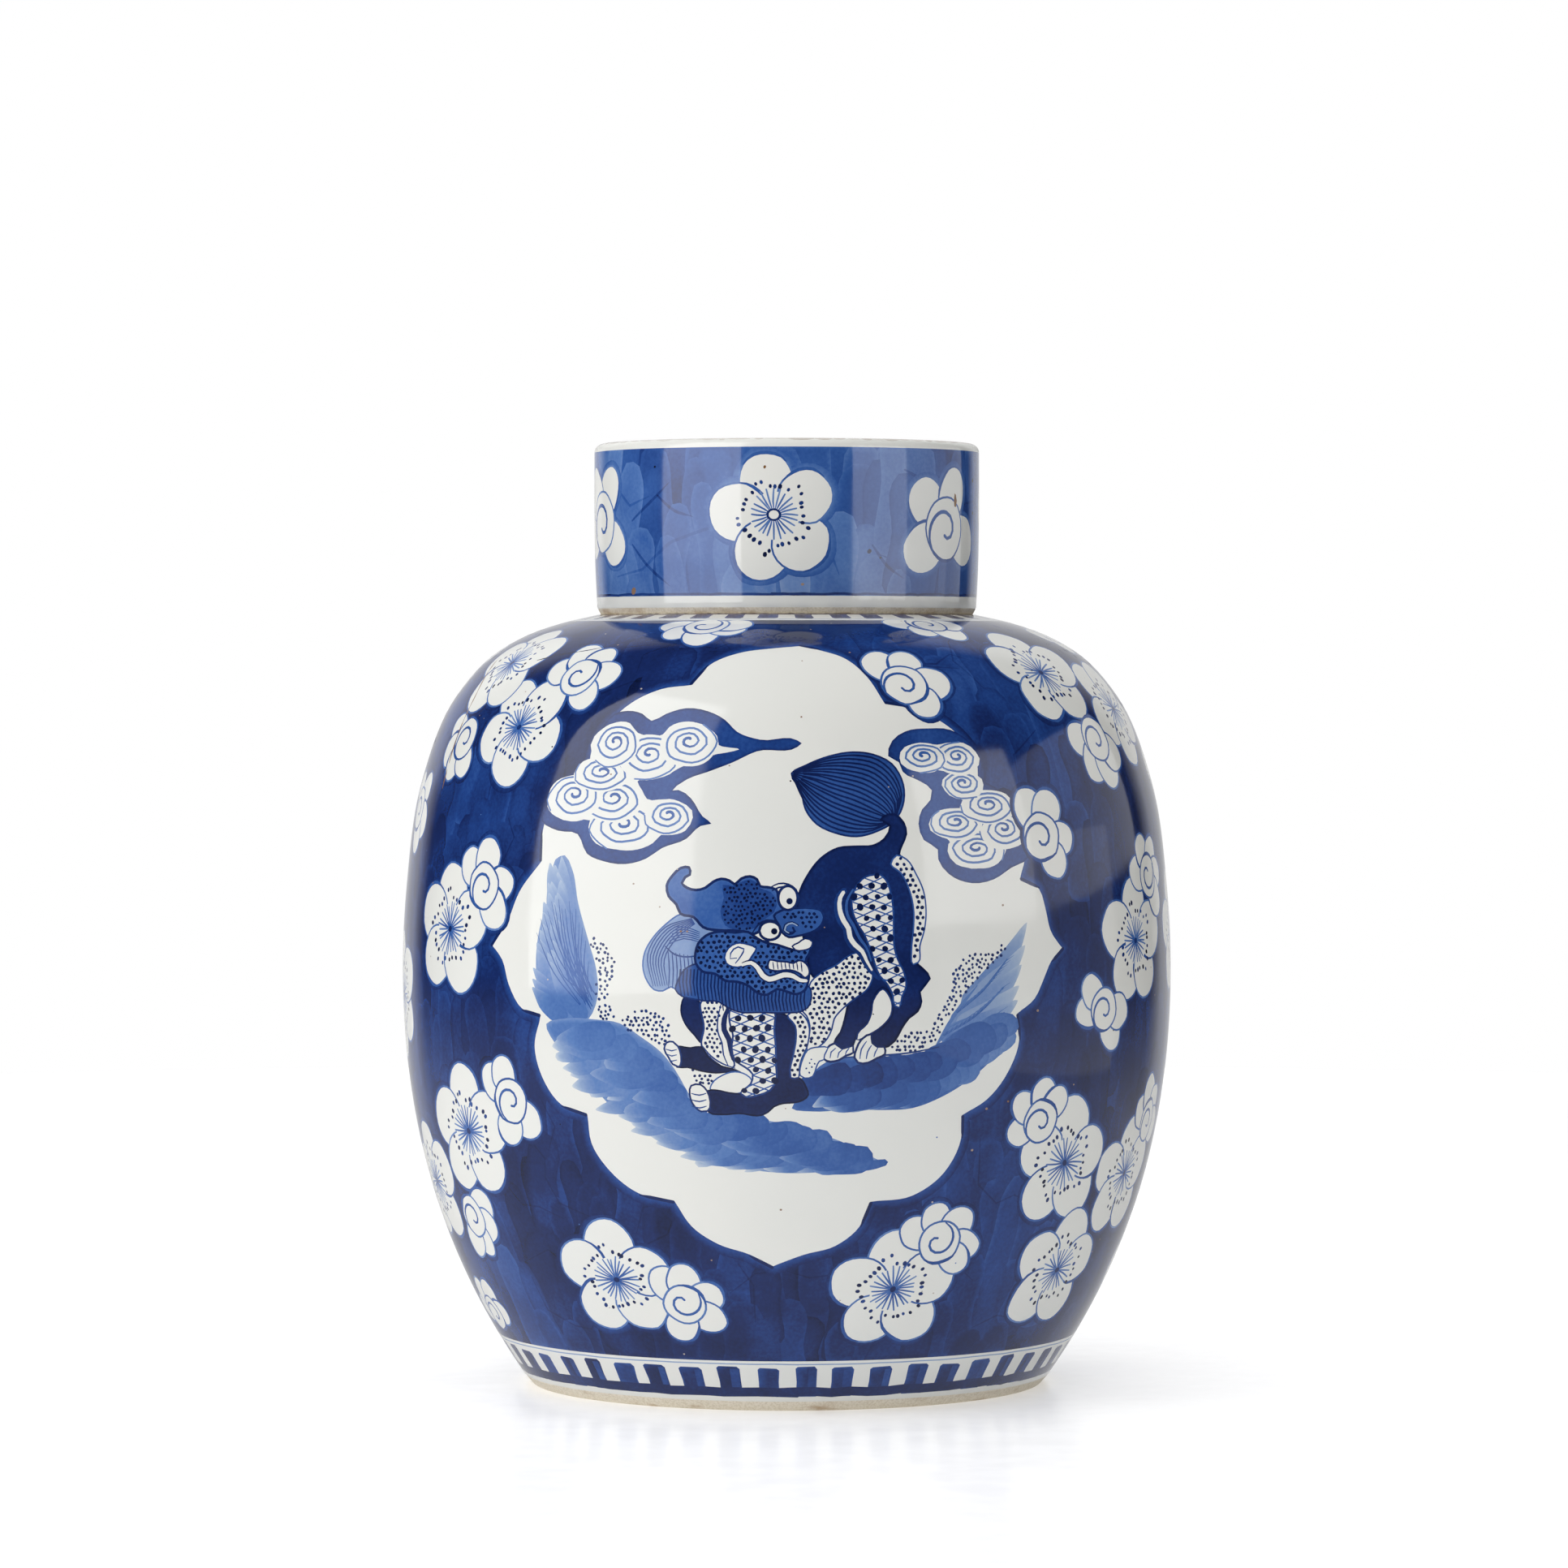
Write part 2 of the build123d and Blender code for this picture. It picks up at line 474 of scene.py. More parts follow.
jar_outer = smooth([
    GLAZE_LINE, (91.6, 12.0), (101.8, 30.0), (114.1, 60.0), (122.6, 98.0), (BELLY, 131.0), (123.7, 162.0),
    (118.6, 196.0), (107.6, 223.0), (96.1, 236.0), (84.1, 243.0), (73.2, 246.8), (SEAT_RADIUS, SEAT_HEIGHT),
], step=3.4)
jar_inner = smooth([
    (70.0, FLOOR), (87.0, 20.0), (98.0, 37.0), (108.6, 62.0), (117.0, 98.0), (119.0, 131.0), (117.6, 162.0),
    (112.0, 195.0), (101.0, 219.0), (88.0, 232.0), (72.0, 239.6), (56.0, 242.8),
], step=6.0)
jar_outline = (
    rounded([(0, RECESS), (73, RECESS), (FOOT_INSIDE, 0), (FOOT, 0), GLAZE_LINE], [3.0, 0.8, 0.8])[:-1]
    + list(jar_outer)
    + rounded([(SEAT_RADIUS, SEAT_HEIGHT), (NECK, SEAT_HEIGHT), (NECK, NECK_TOP), (MOUTH, NECK_TOP),
               (MOUTH, 247.0)], [0.8, LIP, LIP])[1:]
    + list(smooth([(MOUTH, 247.0), (48.4, 244.6), (52.0, 243.3), (56.0, 242.8)], step=2.0)[1:-1])
    + list(jar_inner[::-1])
    + [np.array([0.0, FLOOR])]
)
lid_outline = (
    rounded([(0, LID_CEILING), (LID_INNER, LID_CEILING), (LID_INNER, SEAT_HEIGHT),
             (LID_SKIRT - LID_CHAMFER, SEAT_HEIGHT), (LID_SKIRT, SEAT_HEIGHT + 2 * LID_CHAMFER)],
            [LID_INNER_CORNER, 0.5, 0.3])[:-1]
    + list(smooth([(LID_SKIRT, SEAT_HEIGHT + 2 * LID_CHAMFER), (62.3, 264.0), (LID, 280.0),
                   (LID, TOTAL_HEIGHT - LID_EDGE)], step=4.0)[:-1])
    + rounded([(LID, TOTAL_HEIGHT - LID_EDGE), (LID, TOTAL_HEIGHT), (LID - LID_EDGE, TOTAL_HEIGHT)],
              [LID_EDGE * 0.999], segments=6)[1:]
)
jar_wall = Wall(jar_outline, BELLY, GLAZE_LINE, spacing=5.0)
lid_wall = Wall(lid_outline, LID, (LID_SKIRT - LID_CHAMFER, SEAT_HEIGHT), spacing=4.0)


# ---- cobalt tones: 0 is bare white glaze, 1 the full dark of the ground ----------------------------

WHITE, PALE, LINE, SCROLL, GROUND, DARK, BLACK = 0.0, 0.3, 0.56, 0.58, 0.95, 1.15, 1.35
LID_GROUND, LID_TOP_GROUND = 0.71, 0.72
RUST = -1.0         # less than nothing: iron that has bled through the glaze


# ---- flowers ------------------------------------------------------------------------------------

def petal_ring(radius, rng, stretch=1.0, turn=0.0):
    """A nearly round petal about its own centre; stretch lengthens it along turn, where it is also fuller."""
    a = FULL_TURN * (np.arange(13) + 0.5) / 13
    r = radius * (1 + 0.05 * np.cos(a) + np.array([rng.uniform(-0.035, 0.035) for _ in a]))
    c, s = math.cos(turn), math.sin(turn)
    ring = oval(a, stretch, 1) * r[:, None] @ np.array([[c, s], [-s, c]])
    return smooth(ring, step=radius * 0.28, closed=True)


def halo(art, ring, width):
    """A wet edge round a motif: light against the motif, running into the dark ground."""
    core = ring.mean(0)
    outer = core + (ring - core) * (1 + width / np.hypot(*(ring - core).T).mean())
    loop = loop_of(ring)

    def shade(points):
        gap, _ = distance(points, loop)
        return 0.86 + 0.16 * np.clip(gap / width, 0, 1) ** 0.7
    art.marks.insert(art.beneath, (outer, art.ground, shade, True))
    art.beneath += 1


def petal(art, lay, centre, radius, rng, line_tone=LINE, line=0.64, stretch=1.0, turn=0.0):
    """One white petal with its thin blue outline, which presses harder on one side."""
    ring = lay(petal_ring(radius, rng, stretch=stretch, turn=turn) + centre)
    art.fill(ring, WHITE)
    art.line(loop_of(ring, 2), line, line_tone * rng.uniform(0.85, 1.12))
    n = len(ring)
    start = rng.randrange(n)
    part = np.vstack([ring, ring])[start:start + n // 3]
    art.line(part, line * 1.7, line_tone * 1.2, taper=(0.4, 0.4))


def blossom(art, centre, turn, rng, size=1.0, eye=False):
    """An open five-petalled plum blossom seen face on, 41 mm across at size 1. eye leaves its heart white."""
    lay = art.local(centre, turn, size)
    reach, radius = 11.4, 9.3
    places = []
    for k in range(5):
        a = math.radians(90 + 72 * k + rng.uniform(-4, 4))
        out = reach * rng.uniform(0.95, 1.05)
        places.append((a, unit(a) * out, radius * rng.uniform(0.93, 1.05)))
    for a, at, r in places:
        halo(art, lay(petal_ring(r, rng, stretch=1.04, turn=a) + at), 1.8)
    for a, at, r in places:
        petal(art, lay, at, r, rng, stretch=rng.uniform(0.99, 1.08), turn=a)
    art.fill(lay(petal_ring(8.0, rng)), WHITE)
    heart = np.array([rng.uniform(-0.6, 0.6), rng.uniform(-0.6, 0.6)])
    home = lay(heart)[0]

    def fade(points):
        return 1.0 - 0.3 * np.clip(np.hypot(*(points - home).T) / (9.5 * size), 0, 1)
    count = rng.randint(24, 29)
    for k in range(count):
        out = unit(FULL_TURN * (k + rng.uniform(-0.25, 0.25)) / count)
        bend = np.array([-out[1], out[0]]) * rng.uniform(-0.3, 0.6)
        tip = rng.uniform(7.0, 8.8)
        root = 1.9 if eye else 0.3
        way = [heart + out * root, heart + out * tip * 0.5 + bend * 0.6, heart + out * tip + bend * 0.2]
        art.line(lay(smooth(way, step=1.8)), 0.6 * size, rng.uniform(0.56, 0.74), taper=(0.6, 0.9),
                 shade=fade)
    art.dot(home, (4.2 if eye else 1.9) * size, 0.95, turn=rng.uniform(0, 180), length=1.2, corners=11)
    if eye:
        art.dot(home, 2.9 * size, WHITE, length=1.15, corners=11)
    for k in range(30):
        a = FULL_TURN * (k + rng.uniform(-0.3, 0.3)) / 30
        outer = k % 6 in (2, 3)
        r = rng.uniform(11.3, 12.8) if outer else rng.uniform(9.4, 10.6)
        art.dot(lay(unit(a) * r)[0], rng.uniform(1.05, 1.5) * size, rng.uniform(0.75, DARK),
                math.degrees(a) + turn, 1.25)


def bud(art, centre, turn, rng, size, petals):
    """A half-open blossom: a round core that curls in from its edge, and petals behind at given bearings."""
    lay = art.local(centre, turn, size)
    core = 7.5
    behind = []
    for bearing in petals:
        a = math.radians(bearing + rng.uniform(-5, 5))
        r = core * rng.uniform(0.72, 0.88)
        behind.append((a, unit(a) * (core + r * 0.16), r, rng.uniform(1.05, 1.25)))
    for a, at, r, long in behind + [(0.0, np.zeros(2), core, 1.0)]:
        halo(art, lay(petal_ring(r, rng, stretch=long, turn=a) + at), 1.6)
    for a, at, r, long in behind:
        petal(art, lay, at, r, rng, stretch=long, turn=a)
    petal(art, lay, np.zeros(2), core, rng, line_tone=0.6, line=0.7)
    start = rng.uniform(-25, 25) + (180 if len(petals) % 2 else 0)
    a = np.radians(start + np.linspace(235, -95, 12))
    r = core * np.array([0.98, 0.84, 0.72, 0.62, 0.56, 0.52, 0.5, 0.48, 0.46, 0.42, 0.34, 0.22])
    art.line(lay(smooth(oval(a, r, r), step=1.4)), 0.95 * size, 0.66, taper=(0.5, 0.9))


# ---- ground -------------------------------------------------------------------------------------

def brushed_ground(art, low, high, rng, pitch=(8.0, 21.0), width=9.5, length=36.0, tone=GROUND, patchy=0.06,
                   lean=9, settle=0.0, skip=None):
    """Broad wet strokes laid side by side, each with a round head and a soft lighter seam. settle thins the
    ground towards its foot, and skip says where something else will cover it."""
    art.band(low, high, tone * 0.94)
    art.ground = tone * (1 - 0.6 * settle)
    phase = [rng.uniform(0, FULL_TURN) for _ in range(3)]
    strokes = []
    s = low - length * 0.2
    while s < high + length * 0.3:
        stretch = float(art.spread(np.array([[0.0, min(max(s, low), high)]]))[0])
        n = max(8, int(art.wall.round / (pitch[0] * stretch)))
        for k in range(n):
            x = art.wall.round * (k + rng.uniform(-0.3, 0.3)) / n
            strokes.append((x, s + rng.uniform(-0.5, 0.5) * pitch[1]))
        s += pitch[1]
    sway = [(rng.uniform(2, 5), rng.uniform(0, FULL_TURN), rng.uniform(-lean, lean)) for _ in range(5)]
    strokes.sort(key=lambda p: (round(p[0] / 70), -p[1] + rng.uniform(0, 25)))
    for x, s in strokes:
        angle = sum(h * math.sin(round(f) * x / art.wall.widest + p + s / 60) for f, p, h in sway)
        angle += rng.uniform(-6, 6)
        w, tall = width * rng.uniform(0.8, 1.3), length * rng.uniform(0.7, 1.25)
        bearing = x / art.wall.widest
        patch = math.sin(4 * bearing + phase[0]) + 0.7 * math.sin(7 * bearing + phase[1] + s / 25)
        patch += 0.5 * math.sin(s / 14 + 3 * bearing + phase[2])
        value = tone * (rng.uniform(0.95, 1.06) + patchy * patch) * (1 - settle * (high - s) / (high - low))
        bow = rng.uniform(-2, 2)
        ring = smooth([(-w * 0.46, -tall * 0.5), (-w * 0.5 + bow, 0), (-w * 0.48, tall * 0.4),
                       (-w * 0.28, tall * 0.485), (0.03 * w, tall * 0.5), (w * 0.3, tall * 0.475),
                       (w * 0.48, tall * 0.38), (w * 0.5 + bow, 0), (w * 0.46, -tall * 0.5)], step=3.6,
                      closed=True)
        seam = rng.uniform(0.88, 0.96) if rng.random() < 0.6 else rng.uniform(1.04, 1.1)
        if skip is not None and skip(np.array([[x, s]])):
            continue
        ring = art.local((x, s), angle)(ring)
        ring[:, 1] = np.clip(ring[:, 1], low, high)
        if ring[:, 1].max() - ring[:, 1].min() > 4:
            art.seamed(ring, value, seam=seam, width=1.9)


def cracks(art, low, high, count, rng, skip=None, width=0.6, extra=0.12):
    """Dark lines under the ground, straight and forking like cracked ice, drawn before it and barely seen."""
    for _ in range(count):
        x, s = rng.uniform(0, art.wall.round), rng.uniform(low + 3, high - 8)
        heading = rng.uniform(0, FULL_TURN)
        at = np.zeros(2)
        way = [at]
        for _ in range(rng.randint(2, 4)):
            at = at + unit(heading) * rng.uniform(6, 15)
            way.append(at)
            heading += rng.choice((-1, 1)) * rng.uniform(0.3, 1.1)
        if skip is not None and skip(np.array([[x, s]])):
            continue
        line = art.local((x, s))(stepped(way, 3.5))
        if line[:, 1].min() > low + 1 and line[:, 1].max() < high - 1:
            art.line(line, width, extra, taper=(0.5, 0.4), over=False)


def wear_line(art, points, width, tone, rng):
    """A hairline in the glaze: stained lengths of uneven width and strength, with short breaks."""
    way = smooth(points, 2.2)
    k = 0
    while k < len(way) - 2:
        run = rng.randint(2, 6)
        art.line(way[k:k + run + 1], width * rng.uniform(0.6, 1.3), tone * rng.uniform(0.6, 1.0),
                 taper=(0.4, 0.4))
        k += run + (1 if rng.random() < 0.25 else 0)


def comb_band(art, foot, head, teeth, rng, rail, gap=0.44, flip=1):
    """White teeth left between blue bars that stand on a blue rail. flip=-1 hangs the bars from it."""
    pitch = art.wall.round / teeth
    for k in range(teeth):
        x = pitch * (k + 0.5) + rng.uniform(-0.6, 0.6)
        half = pitch * (1 - gap) / 2 * rng.uniform(0.88, 1.1)
        top = head + rng.uniform(-0.5, 0.5)
        lean = rng.uniform(-0.5, 0.5)
        bar = [(x - half, foot), (x - half * 0.96, (foot + top) / 2), (x - half + lean, top - 0.7 * flip),
               (x - half * 0.8 + lean, top), (x + half * 0.75 + lean, top + rng.uniform(-0.4, 0.3)),
               (x + half + lean, top - 1.0 * flip), (x + half * 0.94, (foot + top) / 2), (x + half, foot)]
        art.seamed(np.array(bar), rng.uniform(0.88, 1.05), seam=0.82, width=0.8)
        inner = x + half * rng.uniform(0.0, 0.3)
        art.fill(np.array([(inner, foot + rail * flip), (inner, top - flip), (x + half * 0.8, top - flip),
                           (x + half * 0.85, foot + rail * flip)]), rng.uniform(0.72, 0.9))
    art.hoop(foot + rail * flip / 2, 0.35, teeth * 2, rail, 0.98, rng)


# ---- materials ----------------------------------------------------------------------------------

class Nodes:
    """A short way to write a material's node tree."""

    def __init__(self, name):
        self.material = bpy.data.materials.new(name)
        self.material.use_nodes = True
        self.tree = self.material.node_tree
        self.shader = self.tree.nodes["Principled BSDF"]
        self.place = self.add("ShaderNodeTexCoord").outputs["Object"]

    def add(self, kind, **settings):
        node = self.tree.nodes.new(kind)
        for key, value in settings.items():
            setattr(node, key, value)
        return node

    def plug(self, source, socket):
        if hasattr(source, "is_output"):
            self.tree.links.new(source, socket)
        else:
            socket.default_value = source

    def noise(self, scale, detail=2.0, stretch=None):
        node = self.add("ShaderNodeTexNoise")
        node.inputs["Scale"].default_value = scale
        node.inputs["Detail"].default_value = detail
        self.plug(self.place if stretch is None else self.scaled(stretch), node.inputs["Vector"])
        return node.outputs["Fac"]

    def scaled(self, factors):
        node = self.add("ShaderNodeMapping")
        node.inputs["Scale"].default_value = factors
        self.plug(self.place, node.inputs["Vector"])
        return node.outputs["Vector"]

    def maths(self, operation, a, b, clamp=False):
        node = self.add("ShaderNodeMath", operation=operation, use_clamp=clamp)
        for value, socket in zip((a, b), node.inputs):
            self.plug(value, socket)
        return node.outputs[0]

    def between(self, value, low, high, out_low=0.0, out_high=1.0):
        """value from low..high to out_low..out_high, with a smooth start and end."""
        node = self.add("ShaderNodeMapRange", interpolation_type="SMOOTHSTEP")
        for value_, socket in zip((value, low, high, out_low, out_high), node.inputs):
            self.plug(value_, socket)
        return node.outputs["Result"]

    def ramp(self, value, stops):
        node = self.add("ShaderNodeValToRGB")
        while len(node.color_ramp.elements) < len(stops):
            node.color_ramp.elements.new(0.5)
        for element, (at, colour) in zip(node.color_ramp.elements, stops):
            element.position = at
            element.color = (*colour, 1)
        self.plug(value, node.inputs["Fac"])
        return node.outputs["Color"]

    def mix(self, factor, a, b):
        node = self.add("ShaderNodeMix", data_type="RGBA")
        self.plug(factor, node.inputs["Factor"])
        for value, socket in ((a, node.inputs[6]), (b, node.inputs[7])):
            self.plug((*value, 1) if isinstance(value, tuple) else value, socket)
        return node.outputs[2]

    def specks(self, scale, size, share):
        """Sparse round spots: 1 at a spot. size is in cells, and share is how many cells have one."""
        node = self.add("ShaderNodeTexVoronoi")
        node.inputs["Scale"].default_value = scale
        self.plug(self.place, node.inputs["Vector"])
        near = self.between(node.outputs["Distance"], size * 0.5, size, 1.0, 0.0)
        picked = self.maths("LESS_THAN", self.split(node.outputs["Color"]), share)
        return self.maths("MULTIPLY", near, picked)

    def split(self, colour):
        node = self.add("ShaderNodeSeparateColor")
        self.plug(colour, node.inputs[0])
        return node.outputs[0]

    def bump(self, layers):
        """Stacked bumps, each a height from 0 to 1 and what 1 stands for in millimetres."""
        normal = None
        for height, depth in layers:
            node = self.add("ShaderNodeBump")
            node.inputs["Strength"].default_value = 1.0
            node.inputs["Distance"].default_value = depth * MM
            self.plug(height, node.inputs["Height"])
            if normal is not None:
                self.plug(normal, node.inputs["Normal"])
            normal = node.outputs["Normal"]
        self.plug(normal, self.shader.inputs["Normal"])


def srgb(*values):
    """A colour from 0 to 255 as seen, to linear light."""
    return tuple((v / 255 / 12.92) if v <= 10 else ((v / 255 + 0.055) / 1.055) ** 2.4 for v in values)


def painted_glaze(name, gloss):
    """Cobalt under a clear glaze. gloss is the glaze's index of refraction."""
    n = Nodes(name)
    ink = n.add("ShaderNodeAttribute", attribute_name="cobalt").outputs["Fac"]
    pools = n.noise(55, 3.0)
    grain = n.noise(900, 2.0)
    uneven = n.maths("ADD", n.between(pools, 0.3, 0.7, 0.93, 1.06),
                     n.between(grain, 0.25, 0.75, -0.035, 0.035))
    depth = n.maths("MULTIPLY", ink, uneven)
    scaled = n.maths("MULTIPLY", depth, 0.75)
    cloud = n.noise(9, 2.0)
    white = n.mix(n.between(cloud, 0.3, 0.7), srgb(226, 226, 221), srgb(221, 222, 218))
    paint = n.ramp(scaled, [
        (0.00, srgb(255, 255, 255)), (0.09, srgb(216, 226, 243)), (0.22, srgb(164, 187, 227)),
        (0.37, srgb(98, 137, 206)), (0.47, srgb(60, 103, 182)), (0.60, srgb(35, 72, 149)),
        (0.71, srgb(24, 46, 108)), (0.86, srgb(13, 28, 74)), (1.00, srgb(6, 12, 36)),
    ])
    tint = n.add("ShaderNodeMix", data_type="RGBA", blend_type="MULTIPLY")
    tint.inputs["Factor"].default_value = 1.0
    n.plug(white, tint.inputs[6])
    n.plug(paint, tint.inputs[7])
    iron = n.specks(48, 0.018, 0.5)
    bled = n.maths("MULTIPLY", ink, -1.0, clamp=True)
    stained = n.mix(bled, tint.outputs[2], srgb(120, 82, 46))
    colour = n.mix(iron, stained, srgb(96, 70, 50))
    n.plug(colour, n.shader.inputs["Base Color"])
    n.plug(n.between(n.noise(30, 3.0), 0.3, 0.7, 0.05, 0.11), n.shader.inputs["Roughness"])
    n.shader.inputs["IOR"].default_value = gloss
    n.bump([(n.noise(22, 1.0), 0.22), (n.noise(420, 2.0), 0.004), (iron, -0.05)])
    return n.material


def bare_clay(name):
    """Unglazed, gritty body clay with brownish stains that run along it."""
    n = Nodes(name)
    stain = n.between(n.noise(90, 4.0, stretch=(1, 1, 3)), 0.52, 0.82)
    grit = n.noise(1500, 3.0)
    clay = n.mix(n.between(grit, 0.35, 0.7), srgb(222, 214, 198), srgb(204, 194, 174))
    n.plug(n.mix(stain, clay, srgb(174, 150, 120)), n.shader.inputs["Base Color"])
    n.plug(n.between(grit, 0.3, 0.7, 0.62, 0.85), n.shader.inputs["Roughness"])
    n.bump([(grit, 0.06), (n.noise(260, 3.0), 0.08)])
    return n.material


def white_table(name):
    """A pale, slightly glossy table top, near enough to white to have no edge in the picture."""
    n = Nodes(name)
    n.plug(n.mix(n.noise(3, 2.0), srgb(246, 246, 247), srgb(249, 249, 249)), n.shader.inputs["Base Color"])
    n.plug(n.between(n.noise(60, 2.0), 0.3, 0.7, 0.2, 0.24), n.shader.inputs["Roughness"])
    n.shader.inputs["IOR"].default_value = 1.3
    n.shader.inputs["Emission Color"].default_value = (1, 1, 1, 1)
    # Its far rim glows a little more, so that it meets the white room without a line.
    reach = n.add("ShaderNodeVectorMath", operation="LENGTH")
    n.plug(n.place, reach.inputs[0])
    n.plug(n.between(reach.outputs["Value"], 1.15, 1.45, 0.3, 0.42), n.shader.inputs["Emission Strength"])
    return n.material


# ---- the reserved panel and its beast --------------------------------------------------------------

class Side:
    """One face of the jar: drawings are given about its middle line, and may be laid mirrored."""

    def __init__(self, art, middle, way):
        self.art = art
        self.middle = middle
        self.way = way

    def at(self, points):
        """From the drawing's own x and s to the wall's."""
        return np.atleast_2d(np.asarray(points, float)) * [self.way, 1] + [self.middle, 0]

    def home(self, points):
        """From the wall's x and s to the drawing's own."""
        return (points - [self.middle, 0]) * [self.way, 1]

    def shape(self, points, tone, outline=None, width=0.55, step=1.4, rim=None):
        """A filled shape. outline is the tone of its line, and rim the strength and width of its edge."""
        ring = self.at(smooth(points, step, closed=True))
        if rim is None:
            self.art.fill(ring, tone)
        else:
            self.art.seamed(ring, tone, *rim)
        if outline is not None:
            self.art.line(loop_of(ring, 2), width, outline)

    def line(self, points, width, tone, step=1.4, taper=(0.6, 0.6)):
        self.art.line(self.at(smooth(points, step)), width, tone, taper)

    def lines(self, ways, width, tone):
        for way in ways:
            self.line(way, width, tone)

    def dotted(self, area, tone, dots, rng, jitter=0.18, **edge):
        """A shape that is filled with dots, given as their pitch, size and tone."""
        self.shape(area, tone, **edge)
        self.dots(area, *dots, rng, jitter)

    def dots(self, area, pitch, size, tone, rng, jitter=0.18, corners=6, margin=0.35):
        """Dots in staggered rows over an area, kept margin times their size away from its edge."""
        ring = smooth(area, 2.0, closed=True)
        (x0, s0), (x1, s1) = ring.min(0), ring.max(0)
        loop = loop_of(ring)
        row, s = 0, s0 + pitch / 2
        while s < s1:
            x = x0 + pitch * (0.25 + 0.5 * (row % 2))
            while x < x1:
                p = np.array([[v + rng.uniform(-jitter, jitter) * pitch for v in (x, s)]])
                if inside(p, ring)[0] and distance(p, loop)[0][0] > size * margin:
                    self.art.dot(self.at(p)[0], size * rng.uniform(0.85, 1.15), tone, rng.uniform(0, 180),
                                 1.15, corners)
                x += pitch
            row += 1
            s += pitch * 0.87


# The panel's lobes. Each starts at the last point of the one before, and ends in a cusp.
PANEL_LOBES = [
    [(14, 251.5), (24, 247), (31, 239), (35.5, 229)],
    [(45, 227.5), (54, 223.5), (62, 217), (66.5, 209), (65, 201)],
    [(72, 197.5), (78, 192), (81, 185), (81, 178), (78.5, 172)],
    [(86, 169), (88.5, 162), (90, 156), (95, 150)],
    [(90, 146), (87, 141), (83, 134.5), (76, 130)],
    [(77.3, 122), (73.5, 112), (66, 103.5), (57.5, 99)],
    [(58, 92), (53, 81), (42, 73.5), (28, 72)],
    [(25, 64), (17, 57.5), (6, 54.5), (-5, 50.5)],
    [(-13, 54.5), (-24, 58), (-33, 64), (-38, 72)],
    [(-50, 74), (-60, 81), (-66, 90), (-66.5, 99)],
    [(-76, 101.5), (-83, 110), (-85.5, 120), (-82.5, 129.5)],
    [(-90, 131), (-96, 138.5), (-99, 146), (-104, 150.5)],
    [(-97.5, 158), (-92.5, 168), (-84, 177.5)],
    [(-84.5, 187), (-80, 199), (-69, 206)],
    [(-67, 218), (-58, 229), (-47, 234.5), (-36, 236)],
    [(-31, 244), (-20, 250), (-7, 252.5), (5.5, 254)],
]
PANEL_LOBES = [before[-1:] + lobe for before, lobe in zip(PANEL_LOBES[-1:] + PANEL_LOBES, PANEL_LOBES)]


def panel_ring(grow=0.0):
    """The panel's cusped outline, moved outwards by grow."""
    ring = np.vstack([smooth(lobe, 2.2)[:-1] for lobe in PANEL_LOBES])
    d = np.roll(ring, -1, 0) - np.roll(ring, 1, 0)
    return ring + left_of(d) * grow


def paint_panel(side):
    """White ground with a wet halo outside it, a dark inked edge and a thin paler line within."""
    ring = panel_ring()
    loop = loop_of(ring)

    def shade(points):
        gap, _ = distance(side.home(points), loop)
        return 0.8 + 0.24 * np.clip(gap / 2.6, 0, 1)
    side.art.fill(side.at(panel_ring(2.6)), GROUND, shade)
    side.art.fill(side.at(ring), WHITE)
    side.art.line(side.at(loop), 0.9, 0.78)
    for lobe in PANEL_LOBES:
        side.line(lobe[:2], 1.1, 1.0, step=2.0, taper=(1.0, 0.3))


def curl(side, centre, rx, ry, rng, spin, turns):
    """One scroll of cloud: a white lobe, and a spiral that opens downwards into nested arcs."""
    a = np.linspace(0, FULL_TURN, 17)[:-1]
    centre = np.asarray(centre, float)
    wave = 1 + 0.025 * np.sin(5 * a + rng.uniform(0, 6))
    side.shape(centre + oval(a, rx, ry) * wave[:, None], WHITE, step=2.0)
    first = rng.uniform(0, FULL_TURN)
    t = np.linspace(0, 1, int(13 * turns))
    way = first + spin * t * turns * FULL_TURN
    r = (1.0 - 0.92 * t ** 0.9) * (1 + 0.03 * np.sin(5 * way + first))
    path = oval(way, rx, ry) * r[:, None]
    path[:, 1] += 0.2 * ry * (1 - r)
    path += centre
    side.line(path, 0.7, SCROLL * 0.92, step=1.8, taper=(0.7, 1.0))
    side.line(path[-len(path) // 4:], 0.95, SCROLL * 1.1, step=1.2, taper=(0.5, 1.0))


